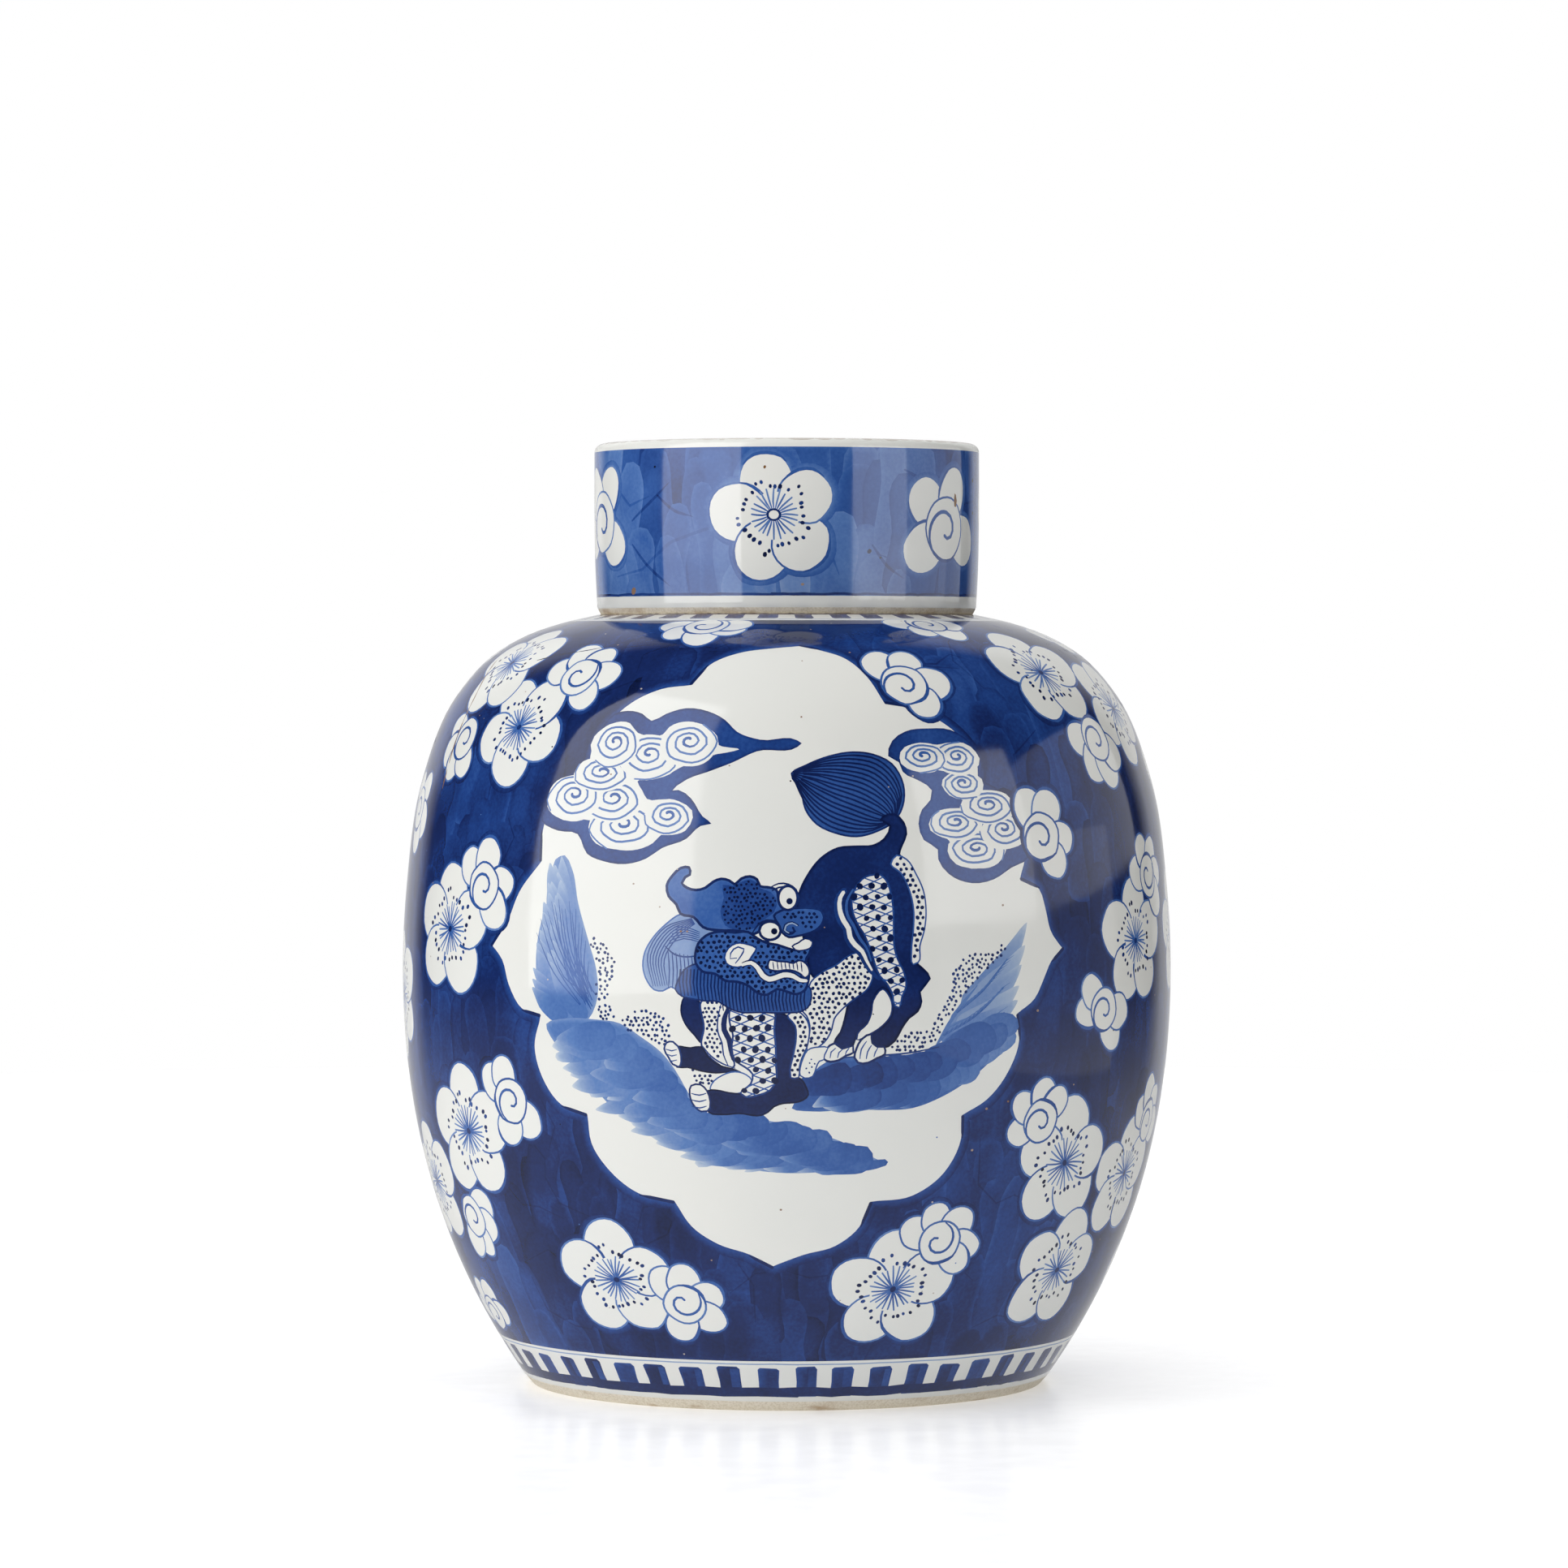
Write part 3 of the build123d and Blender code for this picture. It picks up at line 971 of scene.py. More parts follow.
def paint_clouds(side, rng):
    """Two cloud banks: a dark edge, a white bank and the scrolls on it."""
    left_edge = [
        (-85, 190), (-78, 187), (-70, 186), (-66, 180), (-60, 177.8), (-52, 177), (-45, 178.8), (-40, 182),
        (-32, 185), (-27.5, 189), (-24, 189.7), (-27, 192), (-31, 197.5), (-35.5, 200.2), (-37.5, 200),
        (-33, 203.5), (-26, 206), (-18, 209), (-10, 212.6), (3.5, 214), (5, 215.2), (3.5, 216.2),
        (-9, 216.4), (-17, 219), (-21.5, 223), (-28, 226), (-36, 227), (-43, 225), (-48, 222.6), (-52, 225),
        (-58, 226), (-63, 225), (-68, 217), (-70.5, 206), (-80, 199),
    ]
    right_edge = [
        (34, 211), (36, 216), (41, 219), (50, 220), (58, 219.5), (65, 215), (68, 209), (67, 202),
        (74, 198.5), (79, 193), (82.5, 186), (82, 178.5), (75, 175.5), (68, 172), (60, 171), (52, 174),
        (48.6, 178.5), (48.6, 181.5), (44, 184.5), (42.5, 189.5), (44, 194), (47.2, 197), (48, 200),
        (44, 203), (38.5, 206), (37.5, 209),
    ]
    left_white = [
        (-66, 219), (-61.5, 222), (-56, 221.7), (-52.6, 218.6), (-48, 217.6), (-43, 218), (-41, 220.5),
        (-36, 222.3), (-31, 221.8), (-27, 219), (-24, 215), (-16, 213.2), (-20, 212.2), (-25, 211.2),
        (-28, 209), (-34, 208), (-39, 205.5), (-44, 204), (-50, 202.8), (-48, 200), (-46, 197.3),
        (-40, 197.2), (-35, 196), (-32, 193), (-31.5, 190.6), (-34, 187.7), (-40, 186.5), (-43, 183.6),
        (-48, 181.6), (-54, 181.3), (-61, 183.3), (-65, 187), (-64, 189.6), (-68, 190.6), (-76, 190.3),
        (-80.5, 192.5), (-82.5, 195.5), (-79, 201), (-72.5, 205.3), (-69.5, 207), (-69, 213),
    ]
    right_white = [
        (38.4, 211), (41, 214), (46, 215.3), (52, 214.6), (57, 215.3), (62, 214.8), (65.3, 212), (66, 207),
        (65.4, 200.5), (70, 199), (75.5, 196), (79.5, 191), (80.5, 187), (79, 183.4), (75, 181.7),
        (71.5, 181), (68, 177.8), (64, 175.8), (60, 175.5), (56, 177), (53, 180), (53.4, 182.8), (50, 186.6),
        (47, 189), (48, 191.6), (54, 194.3), (57.5, 194), (59, 196.6), (55.5, 198.2), (52.4, 201), (53, 204),
        (55.5, 205.2), (51, 206.4), (45, 206), (41, 208),
    ]
    for edge, white in ((left_edge, left_white), (right_edge, right_white)):
        side.shape(edge, 0.8, step=2.4, rim=(1.15, 0.9))
        side.shape(white, WHITE, step=2.0)
    scrolls = [
        (-54, 188.3, 10.8, 7.0), (-38.3, 191.6, 7.2, 5.6), (-58, 196.6, 9.6, 6.8), (-73, 197.4, 9.6, 7.4),
        (-63.5, 205, 9.8, 5.6), (-46.8, 210.6, 9.8, 7.4), (-33.4, 214.8, 9.0, 7.2), (-60.3, 214.4, 8.2, 7.4),
        (62.5, 181, 9.4, 5.6), (73, 187, 8.2, 5.8), (55.5, 189.4, 8.4, 5.0), (68, 194.6, 9.2, 5.4),
        (59.6, 201.6, 6.8, 4.6), (58.8, 210, 7.4, 5.4), (46.4, 210.4, 7.6, 4.8),
    ]
    for k, (x, s, rx, ry) in enumerate(scrolls):
        curl(side, (x, s), rx * 1.14, ry, rng, spin=1 if k % 3 else -1, turns=2.5 + rx * 0.06)


def dab(side, head, tail, width, tone, rng, edge=0.055, fade=0.5, bow=None, blunt=False):
    """One loaded brush stroke: a round head with a dark drying edge, that thins to a pale end."""
    head, tail = np.asarray(head, float), np.asarray(tail, float)
    length = float(np.hypot(*(tail - head)))
    u = (tail - head) / length
    n = np.array([-u[1], u[0]])
    bow = rng.uniform(-0.08, 0.08) if bow is None else bow
    profile = [(0.0, 0.3), (0.07, 0.74), (0.2, 0.98), (0.42, 0.96), (0.64, 0.8)]
    profile += [(0.84, 0.66), (0.96, 0.4)] if blunt else [(0.84, 0.46), (0.97, 0.14)]

    def middle(t):
        return head + (tail - head) * t + n * bow * length * math.sin(math.pi * t)

    upper, lower = [], []
    for t, h in profile:
        upper.append(middle(t) + n * h * width / 2 * rng.uniform(0.92, 1.08))
        lower.append(middle(t) - n * h * width / 2 * rng.uniform(0.92, 1.08))
    ring = smooth(upper + [tail + n * bow] + lower[::-1], 2.0, closed=True)
    loop = loop_of(ring)

    def shade(points):
        q = side.home(points)
        along = np.clip((q - head) @ u / length, 0, 1)
        gap, _ = distance(q, loop)
        rim = np.clip(1 - gap / 1.3, 0, 1)
        drying = edge * rim * np.clip(1 - along / 0.5, 0, 1)
        thinning = fade * np.clip((along - 0.45) / 0.55, 0, 1) ** 1.3
        return 1.0 + drying - thinning * (0.8 + 0.35 * rim)
    inner = inset(loop, 1.3)
    if len(inner) > 3:
        side.art.guides.append(side.at(inner))
    side.art.guides.append(side.at([head + (tail - head) * t for t in (0.25, 0.45, 0.6, 0.75, 0.9)]))
    for t in (0.6, 0.78, 0.9):
        side.art.guides.append(side.at([middle(t) - n * width * 0.22, middle(t) + n * width * 0.22]))
    side.art.fill(side.at(ring), tone, shade)


def ledge(side, top, count, reach, width, tone, rng, tilt=0.0, fade=0.3, deepen=0.0):
    """A run of dabs hung from an upper edge, each laid over the tail of the one before."""
    edge = smooth(top, 1.0)
    for k in range(count):
        t = k / (count - 1)
        head = edge[int(t * (len(edge) - 1))] + [rng.uniform(-0.6, 0.6), rng.uniform(-0.5, 0.5)]
        go = np.array([-reach[0] - reach[2] * t, -reach[1] - tilt * t]) * rng.uniform(0.75, 1.25)
        dab(side, head, head + go, width * rng.uniform(0.75, 1.2),
            tone * rng.uniform(0.95, 1.06) * (1 + deepen * (t - 0.5)), rng, fade=fade, blunt=k % 4 == 0)


def paint_rocks(side, rng):
    """A rock with a tall plume on the left, one with a feathered plume on the right, and dotted moss."""
    # left plume: one tall wash, strokes that leave it up and outwards, and fine veins over them
    side.shape([
        (-64, 129), (-60.6, 136), (-61, 144), (-64, 153), (-68.4, 165), (-71.4, 175.5), (-74.4, 179.4),
        (-78, 178), (-78.6, 171), (-80.6, 164), (-83, 156), (-84, 147), (-83, 138), (-77, 129),
    ], 0.46, step=2.4, rim=(0.86, 1.6))
    for k in range(30):
        t = 1 - (k // 2) / 14
        root = np.array([-65 - 6 * t - 7 * (k % 2) * (1 - 0.6 * t), 129 + 33 * t])
        tip = root + [-4.8 - 9 * (1 - t) + rng.uniform(-1, 1),
                      17 + rng.uniform(-3, 1) - 5 * (k % 2) * (1 - t)]
        dab(side, root, tip, rng.uniform(5, 7), 0.42 + 0.1 * (1 - t), rng, edge=0.02, fade=0.4, bow=0.05)
    for k in range(30):
        t = (k % 15) / 14
        low = np.array([-66.5 + 4 * t + rng.uniform(-1.5, 1.5), 132 + rng.uniform(0, 8)])
        high = np.array([-84 + 19 * t, 152 + 15 * math.sin(math.pi * (0.15 + 0.75 * t)) + rng.uniform(-4, 0)])
        if k >= 15:
            high = low + (high - low) * 0.55 + [rng.uniform(-1, 1), 0]
        side.line([low, (low + high) / 2 + [-1.5, -1], high], 0.42, 0.66, step=3.0, taper=(0.8, 0.3))
    # left rock: long strokes from its upper edge, those of the lower edge running out pale
    side.shape([
        (-80, 127), (-75, 119), (-66, 111), (-56, 101), (-46, 95), (-35, 90), (-22, 85.5), (-8, 82.5),
        (8, 82), (22, 83.6), (31, 84.8), (25, 88), (17, 92), (8, 95), (-3, 98), (-14, 99.6), (-27, 101),
        (-31, 107), (-35, 114), (-39, 119), (-46, 124), (-53, 128), (-62, 129), (-72, 129),
    ], 0.5, step=2.4, rim=(0.8, 1.6))
    ledge(side, [(24, 86.6), (12, 87.6), (0, 88.6), (-14, 91), (-28, 94.4), (-40, 101), (-50, 109),
                 (-60, 117), (-66, 123)], 26, (22, 4.5, -10), 6.8, 0.49, rng, tilt=-1.5, fade=0.7,
          deepen=-0.15)
    ledge(side, [(28, 86.4), (14, 92), (2, 96), (-10, 98), (-22, 98.4), (-29, 103), (-34, 110),
                 (-40, 116), (-48, 121.4), (-55, 124.6)], 20, (24, 3.5, -4), 8.4, 0.57, rng, tilt=-1.5,
          fade=0.35, deepen=-0.15)
    side.line([(20, 83.6), (26, 84), (32, 85)], 3.0, 0.62, taper=(0.2, 0.7))
    # right rock and its feathered plume
    for hx, hs, tx, ts, width, tone in (
            (56, 133, 80, 158.5, 8, 0.42), (58, 134, 79, 151.5, 7.5, 0.33), (52, 127, 77.5, 145.5, 9, 0.42),
            (54, 126.5, 76.5, 139, 8, 0.33), (49, 122.5, 76, 134.5, 9, 0.46)):
        dab(side, (hx, hs), (tx, ts), width, tone, rng, edge=0.04, fade=0.5, bow=-0.06)
    side.line([(47, 121), (51, 127.5), (55, 133), (61, 139.5)], 1.2, 0.5, taper=(0.5, 0.2))
    for a, b, c in (((49.5, 124.5), (60, 130), (71, 139)), ((47.5, 121.5), (58, 124.4), (71, 131)),
                    ((54, 131.5), (63, 138), (72, 147.5))):
        a, b, c = (np.array(v, float) for v in (a, b, c))
        side.line([a, b, c], 0.8, 0.6, step=2.5, taper=(1.0, 0.2))
        for k in range(13):
            root = a + (c - a) * (k / 14) + (b - (a + c) / 2) * 2 * (k / 14) * (1 - k / 14) * 2
            side.line([root, root + [2.2, 2.4], root + [5.2, 4.0]], 0.32, 0.52, step=3.0, taper=(0.8, 0.2))
    side.shape([
        (1.5, 102.4), (8, 101.4), (20, 102), (30, 101.6), (40, 102), (50, 105.4), (60, 111), (67, 116.4),
        (73, 122), (76, 125.6), (70, 126.6), (60, 123), (50, 120.8), (40, 119), (26, 118), (14, 117.6),
        (8.5, 114), (6, 108),
    ], 0.66, step=2.4, rim=(0.85, 1.6))
    ledge(side, [(75, 124), (66, 118), (56, 112.4), (45, 108.6), (34, 107.6), (22, 107.4)], 16,
          (15, 6.5, 0), 7.0, 0.58, rng, tilt=-2, fade=0.7, deepen=0.45)
    ledge(side, [(76.5, 127.4), (68, 123.6), (58, 119.5), (47, 116), (37, 114.4), (27, 113.4), (20, 113)],
          13, (18, 5, -2), 9.4, 0.7, rng, tilt=-1, fade=0.2, deepen=0.45)
    side.line([(12, 117.8), (24, 118.4), (38, 119.2), (48, 120.8)], 0.6, 0.8, step=2.5)
    moss = [
        [(-63.5, 154), (-58, 153), (-55, 149.5), (-54.6, 144), (-56.5, 139.5), (-57, 135), (-60.5, 135),
         (-60.5, 146)],
        [(-60.5, 134.6), (-56, 133.6), (-54.8, 129.4), (-60, 128.4)],
        [(-53.5, 127), (-51, 130.6), (-43, 132), (-38.4, 129.8), (-35.8, 124.5), (-37.4, 121), (-42, 122.4),
         (-47, 124.6)],
        [(32, 120), (35, 124), (41, 126.6), (47.5, 127), (50, 129.6), (47, 122.5), (41, 119.8)],
        [(46.4, 127), (49, 134), (52.4, 139), (53, 145.5), (59, 149), (66, 149.4), (72, 153), (71, 149.6),
         (64, 143.6), (57, 137.5), (51, 130)],
        [(-31, 114.2), (-29, 111), (-23, 109.4), (-22.5, 111.5), (-28, 114.2)],
    ]
    for area in moss:
        side.dots(area, 1.62, 0.95, 0.9, rng, jitter=0.3, margin=0.1)


def scales(side, area, tilt, rng):
    """White hide with a lattice of fine lines and a heavy dot in each mesh."""
    side.shape(area, WHITE, outline=0.85, width=0.6, step=1.6)
    ring = smooth(area, 1.6, closed=True)
    (x0, s0), (x1, s1) = ring.min(0), ring.max(0)
    for slope in (tilt, -tilt * 0.8):
        s = s0 - 8
        while s < s1 + 8:
            xs = np.linspace(x0, x1, 40)
            way = np.column_stack([xs, s + (xs - x0) * slope])
            held = inside(way, ring)
            if held.sum() > 3:
                run = way[held]
                side.line([run[0], run[len(run) // 2], run[-1]], 0.42, 0.66, step=3.0, taper=(1, 1))
            s += 2.9
    side.dots(area, 3.7, 1.9, DARK, rng, jitter=0.06, corners=9, margin=0.1)


def lion_tail(side):
    """A lined, leaf-shaped tuft."""
    tuft = [(1.5, 205.5), (6, 208), (14, 211), (22, 212.3), (29, 211.5), (35, 208.5), (38.3, 202),
            (37.5, 195), (34.5, 190.5), (29, 187.5), (22, 185.8), (15, 187), (9.5, 189.6), (6, 194),
            (4.5, 200)]
    side.shape(tuft, 0.72, outline=0.95, width=0.6, step=2.0)
    over = smooth([(1.5, 205.5), (8, 208.8), (15, 211), (23, 211.9), (30, 210.8), (35, 207), (37.6, 201),
                   (37, 195), (34.4, 191)], 1.0)
    under = smooth([(1.5, 205.5), (3.6, 200), (6.6, 194), (11, 189.6), (17, 187), (23, 186.6), (29, 188),
                    (34.4, 191)], 1.0)
    for k in range(18):
        t = (k + 0.5) / 18
        u = np.linspace(0.03 + 0.1 * math.sin(math.pi * t) * (k % 2), 0.97, 8)
        upper = over[(u * (len(over) - 1)).astype(int)]
        lower = under[(u * (len(under) - 1)).astype(int)]
        side.line(upper * (1 - t) + lower * t, 0.6, 1.05, step=2.4, taper=(0.7, 0.7))


def lion_body(side, rng):
    """The body, haunch and hind legs in solid blue, with patches of white hide, and the hind paws."""
    side.shape([
        (3, 164), (4, 169), (6.5, 174), (10.5, 179), (16, 182.2), (22, 182.7), (27.5, 183), (31, 185),
        (33, 189), (30, 191), (34.5, 192.6), (37.5, 190), (38.2, 186.5), (36.6, 183), (35.6, 180.2),
        (38.5, 177), (41, 171), (41.5, 163), (41, 155), (40.2, 147), (42.5, 145), (44.8, 142), (43.2, 140),
        (41.5, 138), (42, 135), (40.8, 132), (38, 130), (35.5, 126.5), (33.5, 123), (31.5, 121.4),
        (28, 121.2), (26.3, 122.6), (25.8, 125), (29.5, 127.4), (32.4, 131), (32.6, 135), (31, 138.6),
        (29.5, 139.4), (27, 136.5), (26, 133), (25.5, 129.5), (23, 126.4), (21, 123.8), (20.3, 121.7),
        (17, 120.7), (14.4, 122.3), (16.5, 125.8), (17.8, 130), (18.6, 134), (19, 138), (13, 141.5),
        (8, 143), (6, 150), (4.5, 158),
    ], 1.0, outline=DARK, width=0.7, step=1.8, rim=(1.1, 0.9))
    side.shape([(29.5, 139), (26.6, 135.5), (26, 131.5), (24.8, 128.5), (21.8, 125.4), (21.5, 123.6),
                (25.6, 125.2), (29.4, 127.6), (32.2, 131), (32.4, 135)], WHITE, outline=0.9, width=0.5)
    # dotted hide under the belly and down the inside of the foreleg
    side.dotted([
        (18.6, 149), (21.5, 150.2), (23.6, 147), (26.4, 143.4), (25, 139.4), (20.6, 136), (17, 133),
        (14.5, 130), (13.8, 127), (12.4, 124), (10, 121.6), (6.2, 120.3), (6.7, 124), (7, 128), (6, 131),
        (4, 133.5), (6, 137), (7.3, 141.3), (11, 144.4), (15, 146.4),
    ], WHITE, (1.75, 1.05, 1.05), rng, 0.22, outline=0.8, width=0.5)
    # haunch: scaled strip, pale ribbon before it and dotted strip behind
    side.line([(18, 169.4), (16.3, 167.5), (15.9, 163.5), (17, 160), (18.7, 157.6), (19, 155), (20.6, 152.4),
               (23, 150.4), (24.2, 147.6), (26, 144.4), (28.5, 142)], 3.0, 0.88, taper=(0.6, 0.3))
    side.line([(17.6, 168.8), (16.5, 167), (16.3, 163.6), (17.5, 160), (19, 157.6), (19.4, 155), (21, 152.6),
               (23.2, 150.6), (24.5, 147.8), (26.2, 144.8)], 1.5, WHITE, taper=(0.7, 0.4))
    side.line([(20.6, 169.6), (18.6, 166), (18.6, 162), (20.6, 158.4), (22.4, 154.6), (24.6, 151.6),
               (26, 147.6)], 0.9, 0.66)
    scales(side, [
        (27.3, 174), (24.4, 173.3), (21.6, 170.4), (20.2, 167), (20.3, 163), (21.8, 159), (24, 155.5),
        (25.2, 152.5), (26.2, 150), (27.2, 146.5), (28.7, 143), (31, 140.5), (32.8, 137), (33.4, 133.8),
        (34.8, 133.2), (35.7, 136.5), (37, 139.6), (36.2, 144.4), (34.4, 148), (33.3, 152), (33.2, 157),
        (33.2, 163), (32.6, 168), (31, 172.4), (29.2, 174),
    ], 0.45, rng)
    side.dotted([(32.8, 177.2), (34.8, 179.9), (38, 178.6), (41, 174), (43.2, 169), (43.9, 163),
                 (43.2, 157), (41.6, 152), (41, 147), (39.4, 146.4), (38.9, 151), (39.6, 157),
                 (39.8, 163.5), (38.5, 169.5), (36, 174.5)], WHITE, (1.9, 1.2, 1.05), rng, 0.15,
                outline=0.7, width=0.5)
    # far and near hind paws
    for paw, claws in (
        ([(14.6, 122.5), (12, 120.6), (11, 118), (12.2, 117.1), (16, 117.3), (18.3, 118.7), (20.5, 119.6),
          (20.4, 121.6), (17, 120.8)],
         ([(13.3, 118), (13.6, 119.8), (15, 121)], [(15.6, 118), (16, 119.6), (17.2, 120.7)],
          [(18, 119), (18.4, 120), (19.2, 121)])),
        ([(26, 125.2), (23, 123.6), (21.4, 120.6), (20.9, 118), (22, 116.5), (25.2, 116.4), (28, 117.8),
          (30.5, 119), (30.2, 121.2), (28, 121.3), (26.4, 122.5)],
         ([(22.6, 117.6), (23, 120.6), (24.6, 123)], [(24.6, 117.6), (25, 119.8), (26.2, 121.8)],
          [(27, 118.2), (27.4, 119.6), (28.2, 121)])),
    ):
        side.shape(paw, WHITE, outline=0.95, width=0.7)
        side.lines(claws, 0.45, 0.7)


def lion_forelegs(side, rng):
    """The far foreleg, stretched to the left rock, and the near one with its scaled front and long paw."""
    side.shape([(-31, 137), (-28.5, 136.2), (-26.6, 134.6), (-26, 130), (-25, 126), (-24, 122.6),
                (-26, 122.3), (-28.5, 124.8), (-31.6, 128.6), (-32.8, 132.4)], 1.02, outline=DARK,
               width=0.6)
    inner = [(-26.3, 135), (-19.6, 134.8), (-20.6, 130), (-20.8, 126), (-20.1, 122), (-20, 119.2),
             (-21, 117.8), (-23.6, 119.4), (-25.6, 122), (-25.2, 127), (-26.2, 131)]
    side.shape([
        (-26.4, 135.2), (-17.6, 134.8), (-18.8, 130), (-19, 126.5), (-17.6, 122.4), (-17.4, 119),
        (-16.2, 115.6), (-17.6, 114.2), (-21.5, 116.2), (-24.4, 118.6), (-26.4, 121.6), (-25.6, 127),
    ], WHITE, outline=0.85, width=0.6)
    side.dots(inner, 1.55, 0.95, 0.95, rng, jitter=0.2)
    side.lines(([(-20.2, 134.6), (-21.2, 130.4), (-21.3, 126), (-20, 122.4), (-19.6, 119), (-18.2, 115.6)],
                [(-26.2, 121.6), (-23.4, 118.4), (-20, 116.2), (-16, 114.8)]), 0.5, 0.8)
    side.line([(-18, 133.4), (-19.2, 130), (-19.3, 126.6), (-17.8, 123.6), (-17.3, 120.4),
               (-16.6, 117.4)], 1.7, 0.95)
    side.shape([
        (-34.4, 121.2), (-30, 120.9), (-26.6, 121.3), (-24.5, 118.2), (-21, 115.7), (-16, 114.3),
        (-13.6, 113.1), (-18, 113.6), (-22, 113.3), (-27, 113.9), (-31, 114.9), (-34.4, 114.9),
    ], 1.04, outline=DARK, width=0.5)
    side.shape([(-34, 121.4), (-35.5, 122.7), (-37.6, 122.4), (-38.4, 120.4), (-37, 117.8), (-35.8, 115.8),
                (-34, 115)], WHITE, outline=0.85, width=0.6)
    for s in (120.4, 118.8, 117.2):
        side.line([(-38 + (120.4 - s) * 0.35, s), (-36, s - 0.5), (-34.4, s - 0.1)], 0.42, 0.7)
    side.shape([(-23.6, 109.6), (-20, 112.6), (-16, 113.7), (-12.6, 112.8), (-10.8, 111), (-11.4, 108.8),
                (-14, 107.3), (-20, 107.3), (-24, 108.4)], WHITE, outline=0.6, width=0.45)

    # near foreleg
    side.shape([
        (-2.5, 131.8), (0, 131), (2.5, 128), (2.8, 124), (2, 119), (1, 114), (1.2, 112), (4, 111.7),
        (6, 108.8), (6.6, 106.6), (5, 105), (2, 104.2), (-1, 104), (-4, 103), (-6, 101.2), (-8, 100.3),
        (-15, 100.8), (-20, 100.4), (-24.6, 101.1), (-25.2, 104), (-25, 107.6), (-22, 107.9), (-18, 107.1),
        (-12, 107.2), (-8, 110), (-5, 116), (-4.6, 124),
    ], 1.04, outline=DARK, width=0.6, rim=(0.88, 0.8))
    scales(side, [
        (-17.6, 132.4), (-10, 132.3), (-3.8, 132.2), (-3.9, 127), (-3.5, 122), (-3.4, 116), (-3.4, 110.8),
        (-5.3, 108), (-9, 106.5), (-13, 106), (-14.4, 107), (-11.2, 110), (-10.6, 113), (-13, 115.2),
        (-16, 117.2), (-17, 121), (-16.6, 125), (-17.6, 129),
    ], 0.45, rng)
    side.dotted([(0.2, 131.2), (3, 132.4), (5.6, 130.5), (6.9, 127), (6.7, 124), (6, 121), (4.6, 118),
                 (3.8, 115), (3.6, 112), (1.2, 112), (1, 114), (2, 119), (2.8, 124), (2.5, 128)], WHITE,
                (1.7, 1.0, 1.05), rng, 0.15, outline=0.8, width=0.5)
    side.shape([(6.3, 120.4), (5, 118), (4.1, 115), (4.1, 112.6), (5.5, 111.8), (8, 112.4), (9, 115),
                (10, 117), (11.4, 117.5), (11.6, 119), (12.6, 121.2), (10, 121.4)], WHITE, outline=0.7,
               width=0.45)
    side.dots([(5.5, 117), (5.5, 113), (8, 113.4), (9.6, 117), (8.5, 119)], 1.5, 0.6, 0.8, rng)
    side.shape([(-25, 107.7), (-27, 109.6), (-30, 109.2), (-30.3, 105), (-29, 102.6), (-27, 101.2),
                (-25, 101.4)], WHITE, outline=0.9, width=0.6)
    for s in (107.2, 105.2, 103.2):
        side.line([(-30, s - 0.4), (-27.5, s - 0.9), (-25.3, s - 0.3)], 0.45, 0.75)


def lion_mane(side):
    """A pale curled tuft of fine hair and a striped fringe below the jaw."""
    side.shape([
        (-27, 161.6), (-33, 161.9), (-38, 158.6), (-42, 154.5), (-44.6, 150), (-45.2, 146), (-43.6, 141),
        (-41.4, 138.6), (-38.6, 138.3), (-36, 139.6), (-33, 138), (-27, 137), (-21, 138), (-19, 146),
        (-20, 154), (-23, 160),
    ], 0.38, outline=0.6, width=0.5, rim=(0.8, 1.2))
    for k in range(7):
        t = k / 6
        side.line([(-29.6 + t, 160.6 - t * 1.6), (-38 + t * 3.8, 157.8 - t * 3.2),
                   (-43.6 + t * 5.4, 149.4 - t * 1.5), (-41.8 + t * 4.6, 139.6 + t * 0.4)], 0.42, 0.78,
                  step=2.2, taper=(0.8, 0.5))
    for k in range(6):
        t = k / 5
        side.line([(-37 + t * 2, 152.6 + t * 5.4), (-32 + t, 154.4 + t * 3.4), (-27, 153.4 + t * 3)], 0.4,
                  0.74, step=2.2, taper=(0.7, 0.5))
    side.line([(-38, 152), (-35, 149.6), (-31, 148.8), (-27, 149.4)], 0.55, 0.8)
    for k in range(9):
        x = -37 + k * 1.25
        side.line([(x, 150.4 - k * 0.2), (x + 0.5, 144.5), (x + 0.2, 139.2)], 0.42, 0.78, step=2.4,
                  taper=(0.6, 0.6))
    fringe = [
        (-34, 141), (-31.6, 145), (-27, 147), (-20, 146), (-14, 144), (-8, 142), (-3, 141.4), (3, 141.4),
        (7, 139.6), (7.4, 136), (6.3, 133.4), (4.6, 132.4), (0, 131.9), (-8, 132), (-15, 132.2),
        (-18.4, 133.6), (-21, 135.2), (-25, 135.4), (-29, 136), (-32.6, 136.8), (-34.6, 138.8),
    ]
    side.shape(fringe, 0.7, outline=0.95, width=0.5)
    x = -33.0
    while x < 6.5:
        top = 145.0 if x < -26 else 145.0 - (x + 26) * 0.26 if x < -4 else 139.0
        low = 137 if x < -28 else 135.6 if x < -20 else 132.5
        side.line([(x, top), (x - 0.3, (top + low) / 2), (x + 0.3, low)], 0.5, 1.0, step=3.0,
                  taper=(0.9, 0.7))
        x += 1.1


